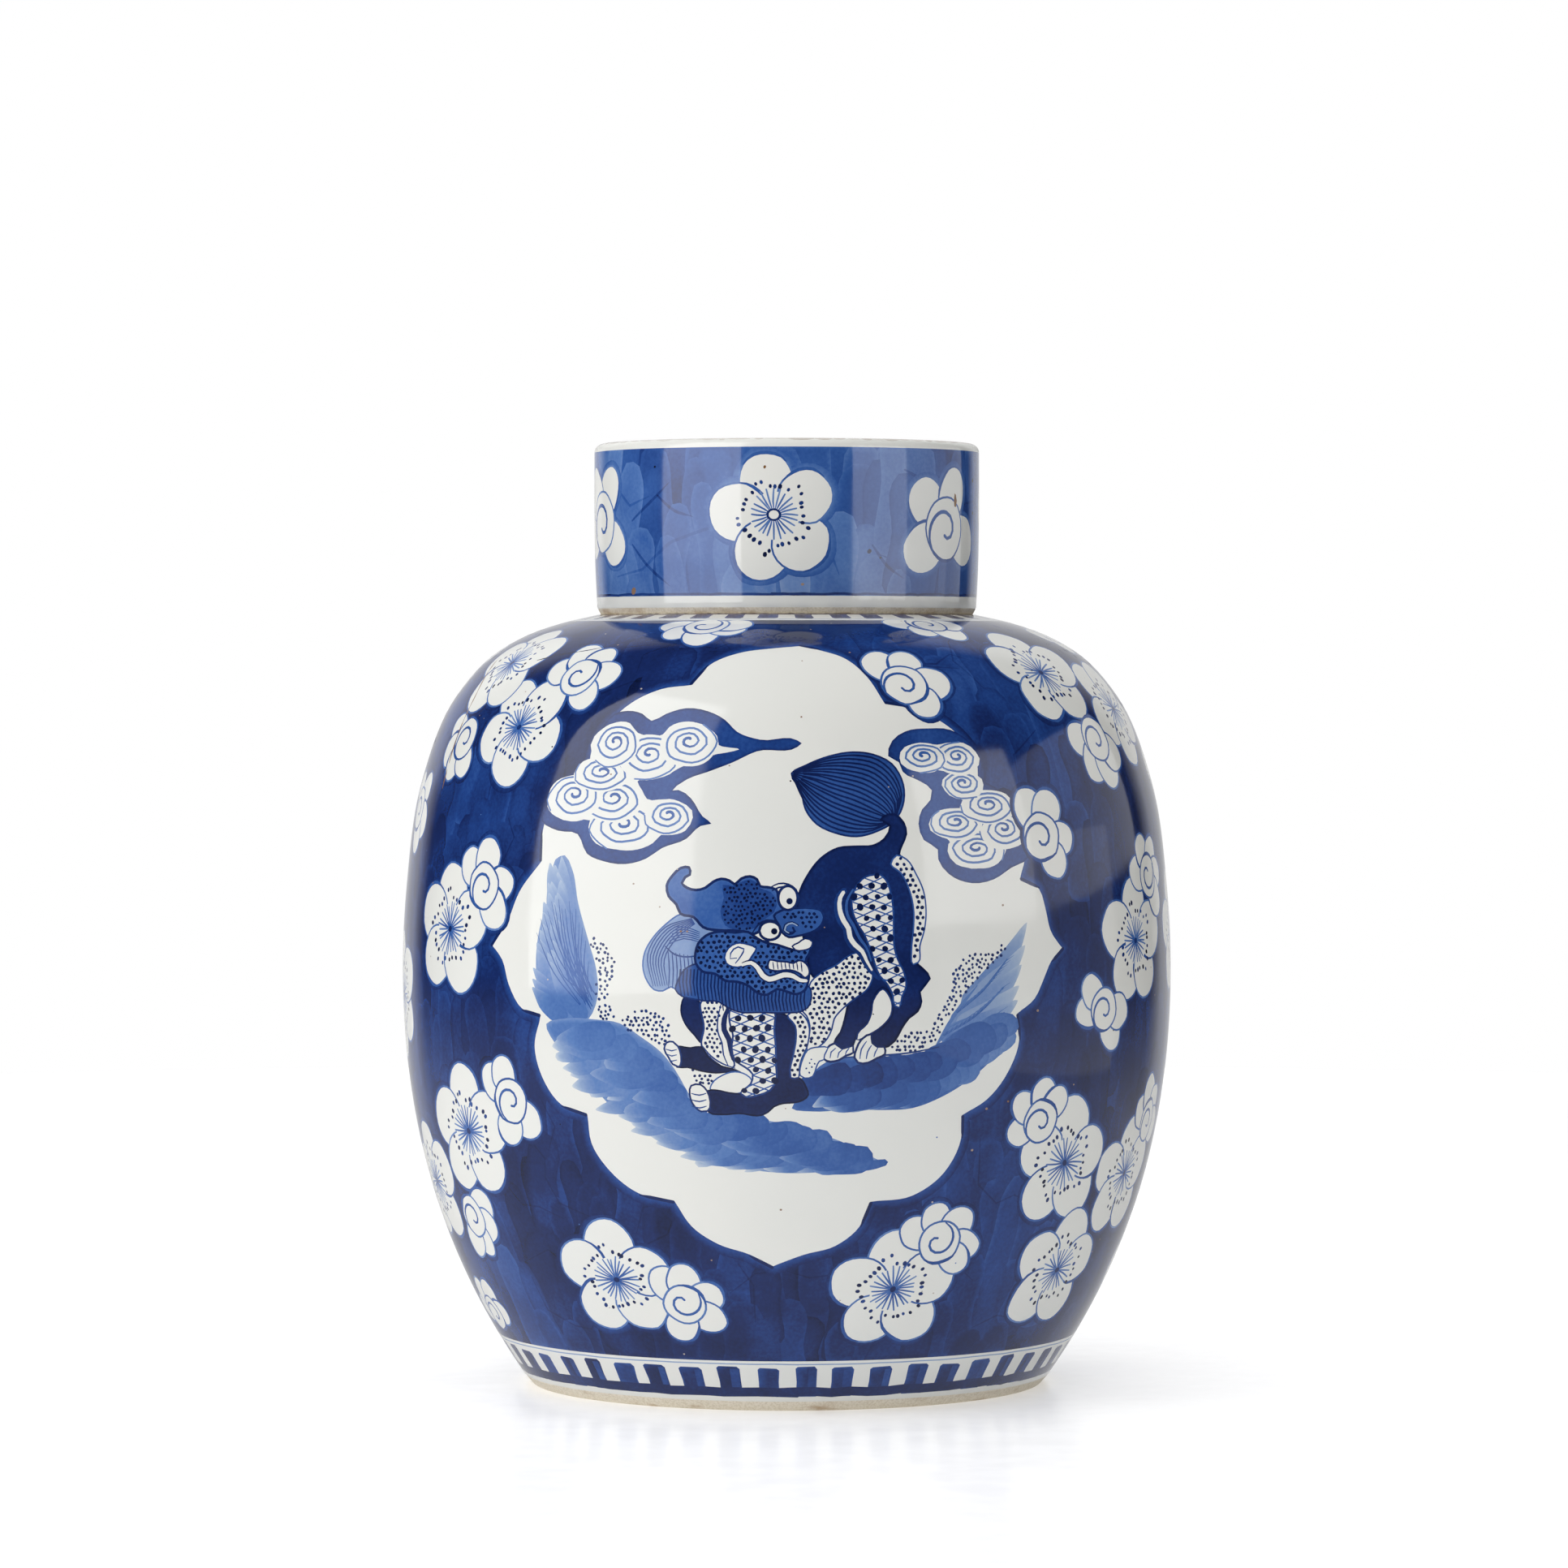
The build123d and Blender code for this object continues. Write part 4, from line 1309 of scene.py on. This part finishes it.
def lion_head(side, rng):
    """The head, turned back: crest, dotted brow, cheek and snout, teeth, and two eyes on top."""
    side.shape([
        (-30.8, 176.2), (-33.5, 176), (-36, 173.8), (-37.9, 170.6), (-37.2, 167.4), (-34.6, 164.8),
        (-33.2, 162), (-29, 161), (-26, 158), (-20, 157), (-14, 157), (-10, 156), (-7, 158), (-3, 160),
        (1, 163), (-2.4, 166), (-3.3, 169.5), (-6, 170.3), (-8.3, 170.6), (-9.3, 172.7), (-11.5, 173.6),
        (-14.2, 172.9), (-16.3, 171.2), (-18, 172.3), (-20.5, 172.8), (-23, 171.9), (-25.5, 170),
        (-28.5, 169.3), (-31.3, 170), (-33, 171.4), (-32, 173.2), (-30.5, 174),
    ], 0.62, outline=0.98, width=0.85, rim=(0.92, 1.0))
    side.dotted([(-20, 171), (-17, 170.6), (-14, 172), (-11.5, 172.7), (-9.5, 171.8), (-8.2, 170),
                 (-5, 168.8), (-3.4, 167), (-3, 165), (-4, 162.6), (-7, 160.4), (-9, 158.2), (-14, 157.2),
                 (-19, 158.5), (-20.6, 163), (-19.6, 167)], 0.76, (1.5, 0.85, DARK), rng, 0.25, step=2.0)
    side.dotted([
        (-28.3, 150), (-27.4, 153), (-25, 155.4), (-20, 156.7), (-16, 156.4), (-12, 156.6), (-9, 154.6),
        (-6, 153.2), (-3, 152.7), (0, 151.7), (3, 151), (6, 151.9), (7.2, 151.4), (6, 148.6), (5.6, 147),
        (6.6, 145), (6.5, 141.5), (5.6, 139), (3, 137.6), (0, 138.4), (-3, 139.2), (-6, 137.4), (-9, 138),
        (-11.5, 140), (-15, 141.3), (-19, 141.7), (-22, 143.7), (-26, 144.4), (-28.2, 147),
    ], 0.62, (1.75, 1.05, DARK), rng, 0.2, outline=0.98, width=0.8)
    side.shape([(-19.2, 148.6), (-18, 151.6), (-15.6, 153.1), (-12, 152.8), (-9.4, 151.6), (-10.6, 149.4),
                (-12, 147.4), (-13.6, 146.1), (-16.6, 145.9), (-18.6, 147)], WHITE, outline=0.8, width=0.55)
    side.line([(-15.8, 147), (-14, 149.4), (-13.2, 151.4), (-15, 152), (-17.3, 150), (-17.4, 148.4),
               (-15.4, 148.6)], 0.5, 0.75)
    side.line([(-13.5, 146.6), (-11, 147.3), (-9, 145.8), (-7.5, 143.5), (-5.5, 142.2), (-3.5, 142.7),
               (-1, 143.6), (2, 143.2), (4, 142), (6.3, 141.8)], 2.5, 0.95, step=1.2)
    side.line([(-13.8, 146.5), (-11, 147.2), (-9, 145.7), (-7.5, 143.4), (-5.5, 142.2), (-3.5, 142.6),
               (-1, 143.5), (2, 143.1), (4, 141.9), (6, 141.7)], 1.5, WHITE, step=1.2)
    side.shape([
        (-5.7, 145.4), (-5.2, 148.1), (-3, 147.7), (0, 147.5), (2, 147.1), (3.5, 147.9), (5, 147.6),
        (6.5, 146), (6.7, 143.5), (5.5, 142.6), (4.2, 143.7), (2.5, 144.6), (0, 145), (-3, 144.7),
    ], WHITE, outline=0.95, width=0.6, step=1.0)
    for x in (-4.3, -3.0, -1.8, -0.6, 0.6, 1.8, 3.0, 4.3):
        side.line([(x, 147.4), (x + 0.15, 146.2), (x + 0.3, 145.2 - max(0.0, x - 2) * 0.3)], 0.4, 0.9,
                  step=1.2)
    snout = [(-4, 161.5), (-1, 163.4), (3, 163.9), (7, 163.9), (10.6, 163), (11.4, 161), (10.6, 158.8),
             (8.6, 157), (6, 156), (3, 155.3), (0.6, 155), (-1.4, 156.4), (-2.6, 159)]
    side.shape(snout, 0.66, outline=0.98, width=0.7)
    side.dots([(-2.5, 161.6), (3, 163.4), (10, 162.4), (10, 159.4), (6, 157.4), (4.4, 158.6),
               (2.8, 160.4), (-1, 160.6)], 1.6, 0.95, DARK, rng, jitter=0.2)
    side.line([(3.4, 158.6), (1.6, 159.4), (-0.4, 158.6), (-0.8, 157.2), (0.6, 156.2), (2.4, 156.8),
               (1.8, 158)], 1.1, 0.98, step=1.0)
    side.line([(3.2, 158.5), (1.6, 159.3), (-0.3, 158.5), (-0.7, 157.2), (0.6, 156.3)], 0.5, PALE, step=1.0)
    side.shape([(1.6, 152.2), (3.5, 153.3), (5.6, 154.6), (7.8, 153.6), (7.4, 152), (5, 151),
                (2.6, 151.1)], WHITE, outline=0.9, width=0.5, step=1.0)
    for centre, rx, ry, pupil in (((0.3, 167), 3.0, 3.7, (0.8, 166)), ((-5.2, 157), 3.3, 2.8, (-3.9, 156.8))):
        a = np.linspace(0, FULL_TURN, 13)[:-1]
        side.shape(centre + oval(a, rx, ry), WHITE, outline=0.98, width=0.85, step=1.0)
        side.art.dot(side.at(pupil)[0], 2.0, DARK, corners=10)
    brow_and_cheek = [
        [(-5, 170.3), (-2.6, 171.4), (0.4, 171.2), (2.8, 169.6), (3.9, 167)],
        [(-4.6, 169.2), (-2.6, 170.2), (-0.6, 170.6)],
        [(-10.8, 156), (-9, 158.6), (-6.4, 160.2), (-3.4, 160)],
        [(-11, 155), (-8.6, 154.2), (-5.4, 153.6)],
    ]
    side.lines(brow_and_cheek, 0.55, 0.98)


def paint_face(side, rng):
    """One face of the jar: the panel, its landscape and a guardian lion that looks back over its shoulder."""
    paint_panel(side)
    paint_rocks(side, rng)
    paint_clouds(side, rng)
    lion_tail(side)
    lion_body(side, rng)
    lion_forelegs(side, rng)
    lion_mane(side)
    lion_head(side, rng)


# ---- the jar's painting -------------------------------------------------------------------------

GROUND_LOW, GROUND_HIGH, PAINTED_HIGH = 16.2, 275.6, 287.0
THIN_LINES = (15.0, 277.0)
BACK = jar_wall.round / 2       # the x of the back's middle line
FACES = ((0.0, 1), (BACK, -1))    # each face's middle line, and 1 or -1 for drawn straight or mirrored

# Open blossoms on one half of the jar: x, s, turn, size
BLOSSOMS = [
    (-105, 220, 36, 0.93), (-137, 245, 10, 0.97), (-128, 155, -4, 1.0), (-123, 91, 0, 1.04),
    (-163, 72, 4, 0.98), (-65, 45, 0, 0.95), (39, 42, 2, 0.96), (102, 82, 0, 1.0), (114, 45, -6, 0.98),
    (144, 75, 0, 0.96), (136, 151, 0, 0.97), (114, 241, 0, 1.0), (157, 226, 36, 0.96), (-178, 132, 20, 0.95),
    (184, 152, 8, 0.95), (193, 44, 30, 0.97),
]
SHARED = 183.0      # flowers further out than this stand between the two halves and are painted once
# Half-open buds on one half: x, s, turn, size, bearings of the small petals
BUDS = [
    (-86, 239, 0, 0.98, (165, 112, 60, 5, -48)), (-139, 216, 0, 0.95, (160, 205, 255, 300)),
    (-110, 169, 0, 0.98, (132, 85, 2, -45)), (-98, 102, 0, 0.95, (140, 100, -42, -100)),
    (-134, 62, 0, 0.95, (25, -20, -70, -115)), (-39, 37, 0, 0.92, (120, 80, 20, -30, -105)),
    (54, 58, 0, 0.93, (150, 100, 45, -5, -45)), (88, 96, 0, 0.92, (200, 145, 90, 45)),
    (158, 92, 0, 0.93, (155, 105, 45, -10)), (150, 171, 0, 0.95, (170, 118, 60, 5, -45)),
    (115, 130, 0, 0.92, (185, 130, -60, -10)), (128, 216, 0, 1.0, (185, 235, 285, 335)),
    (44, 236, 0, 1.0, (125, 70, 0, -48)), (88, 185, 0, 1.0, (112, 65, 0, -60)),
    (-42, 269, 0, 0.95, (178, 225, 280, 335, 2)), (77, 271, 0, 0.9, (182, 235, 300, 355)),
    (-154, 26, 0, 0.85, (170, 120, 60, 10)), (-172, 192, 10, 0.95, (110, 40, -30, -80)),
    (-192, 245, 0, 0.95, (150, 90, 30, -60)), (196, 102, 0, 0.95, (170, 110, 20, -50)),
    (188, 198, 0, 0.95, (120, 60, -10, -70)), (176, 262, 0, 0.85, (180, 240, 300, 0)),
]


def covered(points):
    """Which unrolled points lie well within one of the two panels."""
    ring = panel_ring(-9.0)
    x = (points[:, :1] + jar_wall.round / 4) % jar_wall.round - jar_wall.round / 4
    front = inside(np.hstack([x, points[:, 1:]]), ring)
    return front | inside(np.hstack([BACK - x, points[:, 1:]]), ring)


def wear_jar(art, rng):
    """What use and the kiln have left: hairlines, iron specks and pits."""
    wear_line(art, [(-158, 246), (-153, 239), (-148, 231), (-146.5, 214), (-146, 199)], 1.1, RUST, rng)
    wear_line(art, [(-118, 246), (-105, 249), (-88, 252), (-74, 257), (-64, 260.5)], 0.6, BLACK, rng)
    for x, s in ((-40, 164), (-33, 156.6), (-31, 156.6), (5, 224), (71, 164), (84, 131), (66, 101),
                 (74, 103), (62, 88), (26, 250), (-2, 70), (-60, 205), (-49, 171)):
        art.dot((x, s), rng.uniform(0.5, 0.85), RUST * rng.uniform(0.6, 1.0), length=1.2)
    for _ in range(120):
        x, s = rng.uniform(0, art.wall.round), rng.uniform(GROUND_LOW, GROUND_HIGH)
        art.dot((x, s), rng.uniform(0.3, 0.6), rng.choice((RUST * 0.8, RUST * 0.5, BLACK, LINE)), length=1.2)


def paint_jar():
    """The whole wall: ground, two faces, flowers, wear, and the borders over their edges."""
    art = Painting(jar_wall)
    rng = random.Random(11)
    brushed_ground(art, GROUND_LOW, GROUND_HIGH, rng, skip=covered)
    cracks(art, GROUND_LOW, GROUND_HIGH, 200, rng, skip=covered)
    for middle, way in FACES:
        paint_face(Side(art, middle, way), rng)
    art.begin_flowers()
    for middle, way in FACES:
        for x, s, turn, size in BLOSSOMS:
            if middle == 0 or abs(x) <= SHARED:
                blossom(art, (middle + way * x, s), way * turn, rng, size)
        for x, s, turn, size, petals in BUDS:
            if middle == 0 or abs(x) <= SHARED:
                facing = petals if way == 1 else tuple(180 - p for p in petals)
                bud(art, (middle + way * x, s), way * turn, rng, size, facing)
    wear_jar(art, rng)
    for low, high in ((0.0, GROUND_LOW), (GROUND_HIGH, PAINTED_HIGH)):
        art.band(low, high, WHITE)
    comb_band(art, foot=2.0, head=13.6, teeth=48, rng=rng, rail=3.7, gap=0.41)
    comb_band(art, foot=285.4, head=278.2, teeth=37, rng=rng, rail=1.4, flip=-1)
    for s in THIN_LINES:
        art.hoop(s, 0.15, 90, 0.5, PALE, rng)
    return art


def jar_clay(s):
    """Where the jar's clay is bare: the foot ring, the seat for the lid and the mouth rim."""
    rim = jar_wall.place_of(NECK, NECK_TOP)
    bare = (s > jar_wall.place_of(FOOT_INSIDE, 0) - 0.5) & (s < 0)
    bare |= (s > jar_wall.place_of(SEAT_RADIUS, SEAT_HEIGHT)) & (s < jar_wall.place_of(NECK, SEAT_HEIGHT))
    bare |= (s > rim) & (s < rim + NECK - MOUTH - LIP)
    return bare


def lid_clay(s):
    """Where the lid's clay is bare: the edge that it stands on."""
    return (s > lid_wall.place_of(LID_INNER, SEAT_HEIGHT)) & (s < BARE_EDGE)


def paint_lid():
    """The lid's side: a lighter ground with twigs, flowers and buds between two white edges."""
    art = Painting(lid_wall)
    rng = random.Random(5)
    low, high, top = 5.9, 52.9, 58.5        # the ground's edges, and the painting's own upper edge
    brushed_ground(art, low, high, rng, pitch=(7.5, 25.0), width=10.5, length=42.0, tone=LID_GROUND,
                   patchy=0.12, lean=2, settle=0.2)
    cracks(art, low, high, 16, rng, width=1.0, extra=0.1)
    for twig in ([(-57, 30), (-45, 38), (-40, 42)], [(-57, 22.5), (-50, 16), (-40, 9)],
                 [(-45, 38), (-38, 33), (-31, 31)], [(28, 22), (34, 15), (40, 11.5)],
                 [(40, 46), (49, 43), (56, 44)]):
        art.line(smooth(twig, 2.0), 1.0, 0.2, taper=(0.6, 0.2), over=False)
    art.begin_flowers()
    for x, s, turn in [(-4.2, 31.0, 14), (150, 31, 20), (-122, 31, 40)]:
        blossom(art, (x, s), turn, rng, 0.97, eye=True)
    for x, s, size, petals in [
            (58.8, 27.6, 1.34, (134, 66, -22, 208)), (-78.5, 30, 1.32, (60, -35, 200, 130)),
            (105, 30, 1.15, (150, 90, 20, -60)), (-160, 27, 1.2, (120, 60, -20, 200))]:
        bud(art, (x, s), 0, rng, size, petals)
    for a, b in ((0.3, BARE_EDGE), (BARE_EDGE, low), (high, top)):
        art.band(a, b, WHITE)
    art.hoop(low + 0.5, 0.2, 120, 0.8, 0.86, rng, past=9)
    art.fill(art.local((65, 36.4))([(-0.6, -1.6), (0.5, -1.8), (1.1, 0.2), (0.4, 2.2), (-0.4, 2.6),
                                    (-0.9, 0.4)]), RUST)
    for x, s, size, tone in ((-57, 7.6, 2.2, RUST * 0.9), (80, 43.5, 1.5, BLACK), (80, 33, 1.2, BLACK),
                             (-7, 46.5, 0.9, RUST), (-46, 47, 0.8, BLACK), (27, 20, 1.4, DARK),
                             (5, 9.5, 0.9, RUST * 0.8), (31, 18, 0.7, BLACK)):
        art.dot((x, s), size, tone, rng.uniform(0, 90), 1.25)
    worn_edge(art, s=56.2, width=1.4, rng=rng)
    return art


def worn_edge(art, s, width, rng):
    """Glaze rubbed thin along an edge: patches of bare, stained body."""
    x = 0.0
    while x < art.wall.round:
        run = rng.uniform(2, 9)
        way = [(x + run * k / 4, s + rng.uniform(-0.12, 0.12)) for k in range(5)]
        art.line(way, width * rng.uniform(0.5, 1.3), RUST * rng.uniform(0.12, 0.42), taper=(0.3, 0.3))
        x += run * rng.uniform(0.9, 1.25)


class Plane2D:
    """A flat disc, so that a Painting can be laid on it without any stretch."""
    widest = LID
    round = 0.0

    def radius(self, s):
        return np.full_like(np.asarray(s, float), LID)


def paint_lid_top():
    """The lid's flat top: one blossom among four buds on a round blue ground."""
    art = Painting(Plane2D())
    rng = random.Random(8)
    radius, reach, first = 53, 36, 35       # of the ground; of the buds, and the first bud's bearing
    angles = np.linspace(0, FULL_TURN, 25)[:-1]
    art.fill(smooth([(radius * math.sin(a), radius * math.cos(a)) for a in angles], step=3.0, closed=True),
             LID_TOP_GROUND)
    art.ground = LID_TOP_GROUND
    art.begin_flowers()
    blossom(art, (2, 1), 12, rng, 1.1)
    for k, petals in enumerate(((100, 40, -30), (160, 220, 280), (20, 80, 300), (200, 140, 90))):
        bud(art, unit(math.radians(first + 90 * k)) * reach, 90 * k, rng, 0.9, petals)
    return art


# ---- build --------------------------------------------------------------------------------------

JAR_COLUMNS, LID_COLUMNS = 192, 128     # how many flat faces go round each piece where nothing is painted

glaze_jar, glaze_lid = painted_glaze("jar_glaze", 1.5), painted_glaze("lid_glaze", 1.62)
clay = bare_clay("bare_clay")

jar_parts = unroll(jar_wall, JAR_COLUMNS, paint_jar())
jar = make_mesh("jar_porcelain", jar_parts, [glaze_jar, clay], jar_clay)
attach(jar, "jar")
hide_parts("jar_body")

lid_side = unroll(lid_wall, LID_COLUMNS, paint_lid())
lid_top = disc(LID - LID_EDGE, TOTAL_HEIGHT, LID_COLUMNS, paint_lid_top(), spacing=4.0)
lid = make_mesh("lid_porcelain", joined([lid_top, lid_side]), [glaze_lid, clay], lid_clay)
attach(lid, "lid")
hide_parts("lid")

# ---- table, light and camera --------------------------------------------------------------------

TABLE = 1.5

bpy.ops.mesh.primitive_circle_add(vertices=96, radius=TABLE, fill_type="NGON", location=(0, 0, 0))
table = bpy.context.object
table.name = "table"
table.data.materials.append(white_table("white_table"))
table.visible_glossy = False     # the world's lower half stands for it in reflections


def softbox(name, place, target, width, height, power, mirrored=True, lighting=True):
    """An area light. mirrored=False keeps it out of reflections, lighting=False leaves only its image."""
    light = bpy.data.lights.new(name, "AREA")
    light.shape = "RECTANGLE"
    light.size, light.size_y = width, height
    light.energy = power
    lamp = bpy.data.objects.new(name, light)
    lamp.location = place
    lamp.rotation_euler = (Vector(target) - Vector(place)).to_track_quat("-Z", "Y").to_euler()
    lamp.visible_glossy = mirrored
    lamp.visible_diffuse = lighting
    bpy.context.scene.collection.objects.link(lamp)


def around(bearing, distance_, height):
    """A place round the jar, by its bearing from the camera's direction, clockwise seen from above."""
    a = math.radians(bearing)
    return (math.sin(a) * distance_, -math.cos(a) * distance_, height)


softbox("left_mirror", around(-51, 0.7, 0.78), (0, 0, 0.78), 0.66, 1.06, 5.6, lighting=False)
softbox("left_low", around(-51, 0.7, 0.17), (0, 0, 0.17), 0.66, 0.16, 0.75, lighting=False)
softbox("right_mirror", around(55, 0.62, 0.355), (0, 0, 0.355), 0.39, 0.33, 0.8, lighting=False)
softbox("right_side", around(98, 0.62, 0.34), (0, 0, 0.34), 0.60, 0.28, 0.4, lighting=False)
softbox("right_low", around(74, 0.62, 0.13), (0, 0, 0.13), 0.80, 0.28, 0.26, lighting=False)
softbox("left_light", around(-75, 1.6, 0.8), (0, 0, 0.15), 1.4, 1.2, 13, mirrored=False)
softbox("front_light", around(-12, 2.6, 0.9), (0, 0, 0.15), 1.8, 1.4, 19, mirrored=False)
softbox("overhead", (0, 0, 2.2), (0, 0, 0), 3.2, 3.2, 58, mirrored=False)

# The room is white level with the table and straight behind the jar, and dark elsewhere.
world = bpy.data.worlds.new("studio")
bpy.context.scene.world = world
world.use_nodes = True
tree = world.node_tree


def world_node(kind, **inputs):
    node = tree.nodes.new(kind)
    for name, value in inputs.items():
        socket = node.inputs[name.replace("_", " ")]
        if hasattr(value, "is_output"):
            tree.links.new(value, socket)
        else:
            socket.default_value = value
    return node


seen = world_node("ShaderNodeLightPath").outputs["Is Camera Ray"]
direction = tree.nodes.new("ShaderNodeSeparateXYZ")
tree.links.new(tree.nodes.new("ShaderNodeTexCoord").outputs["Generated"], direction.inputs[0])
sideways = tree.nodes.new("ShaderNodeMath")
sideways.operation = "ABSOLUTE"
tree.links.new(direction.outputs["X"], sideways.inputs[0])
narrow = world_node("ShaderNodeMapRange", Value=sideways.outputs[0], From_Min=0.5, From_Max=0.66,
                    To_Min=0.7, To_Max=0.03).outputs[0]
behind = world_node("ShaderNodeMapRange", Value=direction.outputs["Y"], From_Min=0.52, From_Max=0.68,
                    To_Min=0.03, To_Max=narrow).outputs[0]
level = world_node("ShaderNodeMapRange", Value=direction.outputs["Z"], From_Min=-0.22, From_Max=-0.05,
                   To_Min=0.6, To_Max=behind).outputs[0]
shown = world_node("ShaderNodeMapRange", Value=seen, To_Min=level, To_Max=1.0).outputs[0]
tree.links.new(shown, tree.nodes["Background"].inputs["Strength"])
tree.nodes["Background"].inputs["Color"].default_value = (1, 1, 1, 1)

# The photo's camera, worked out from how the rings of lid and foot curve: level with the shoulder, and tilted
# slightly down.
LENS, FILM = 137.2, 36.0
CAMERA_PLACE, CAMERA_TILT = (-0.0009, -1.948, 0.2354), 1.206
camera_data = bpy.data.cameras.new("camera")
camera_data.lens = LENS
camera_data.sensor_width = FILM
camera = bpy.data.objects.new("camera", camera_data)
camera.location = CAMERA_PLACE
camera.rotation_euler = (math.radians(90 - CAMERA_TILT), 0, 0)
bpy.context.scene.collection.objects.link(camera)
bpy.context.scene.camera = camera
bpy.context.scene.view_settings.view_transform = "Standard"
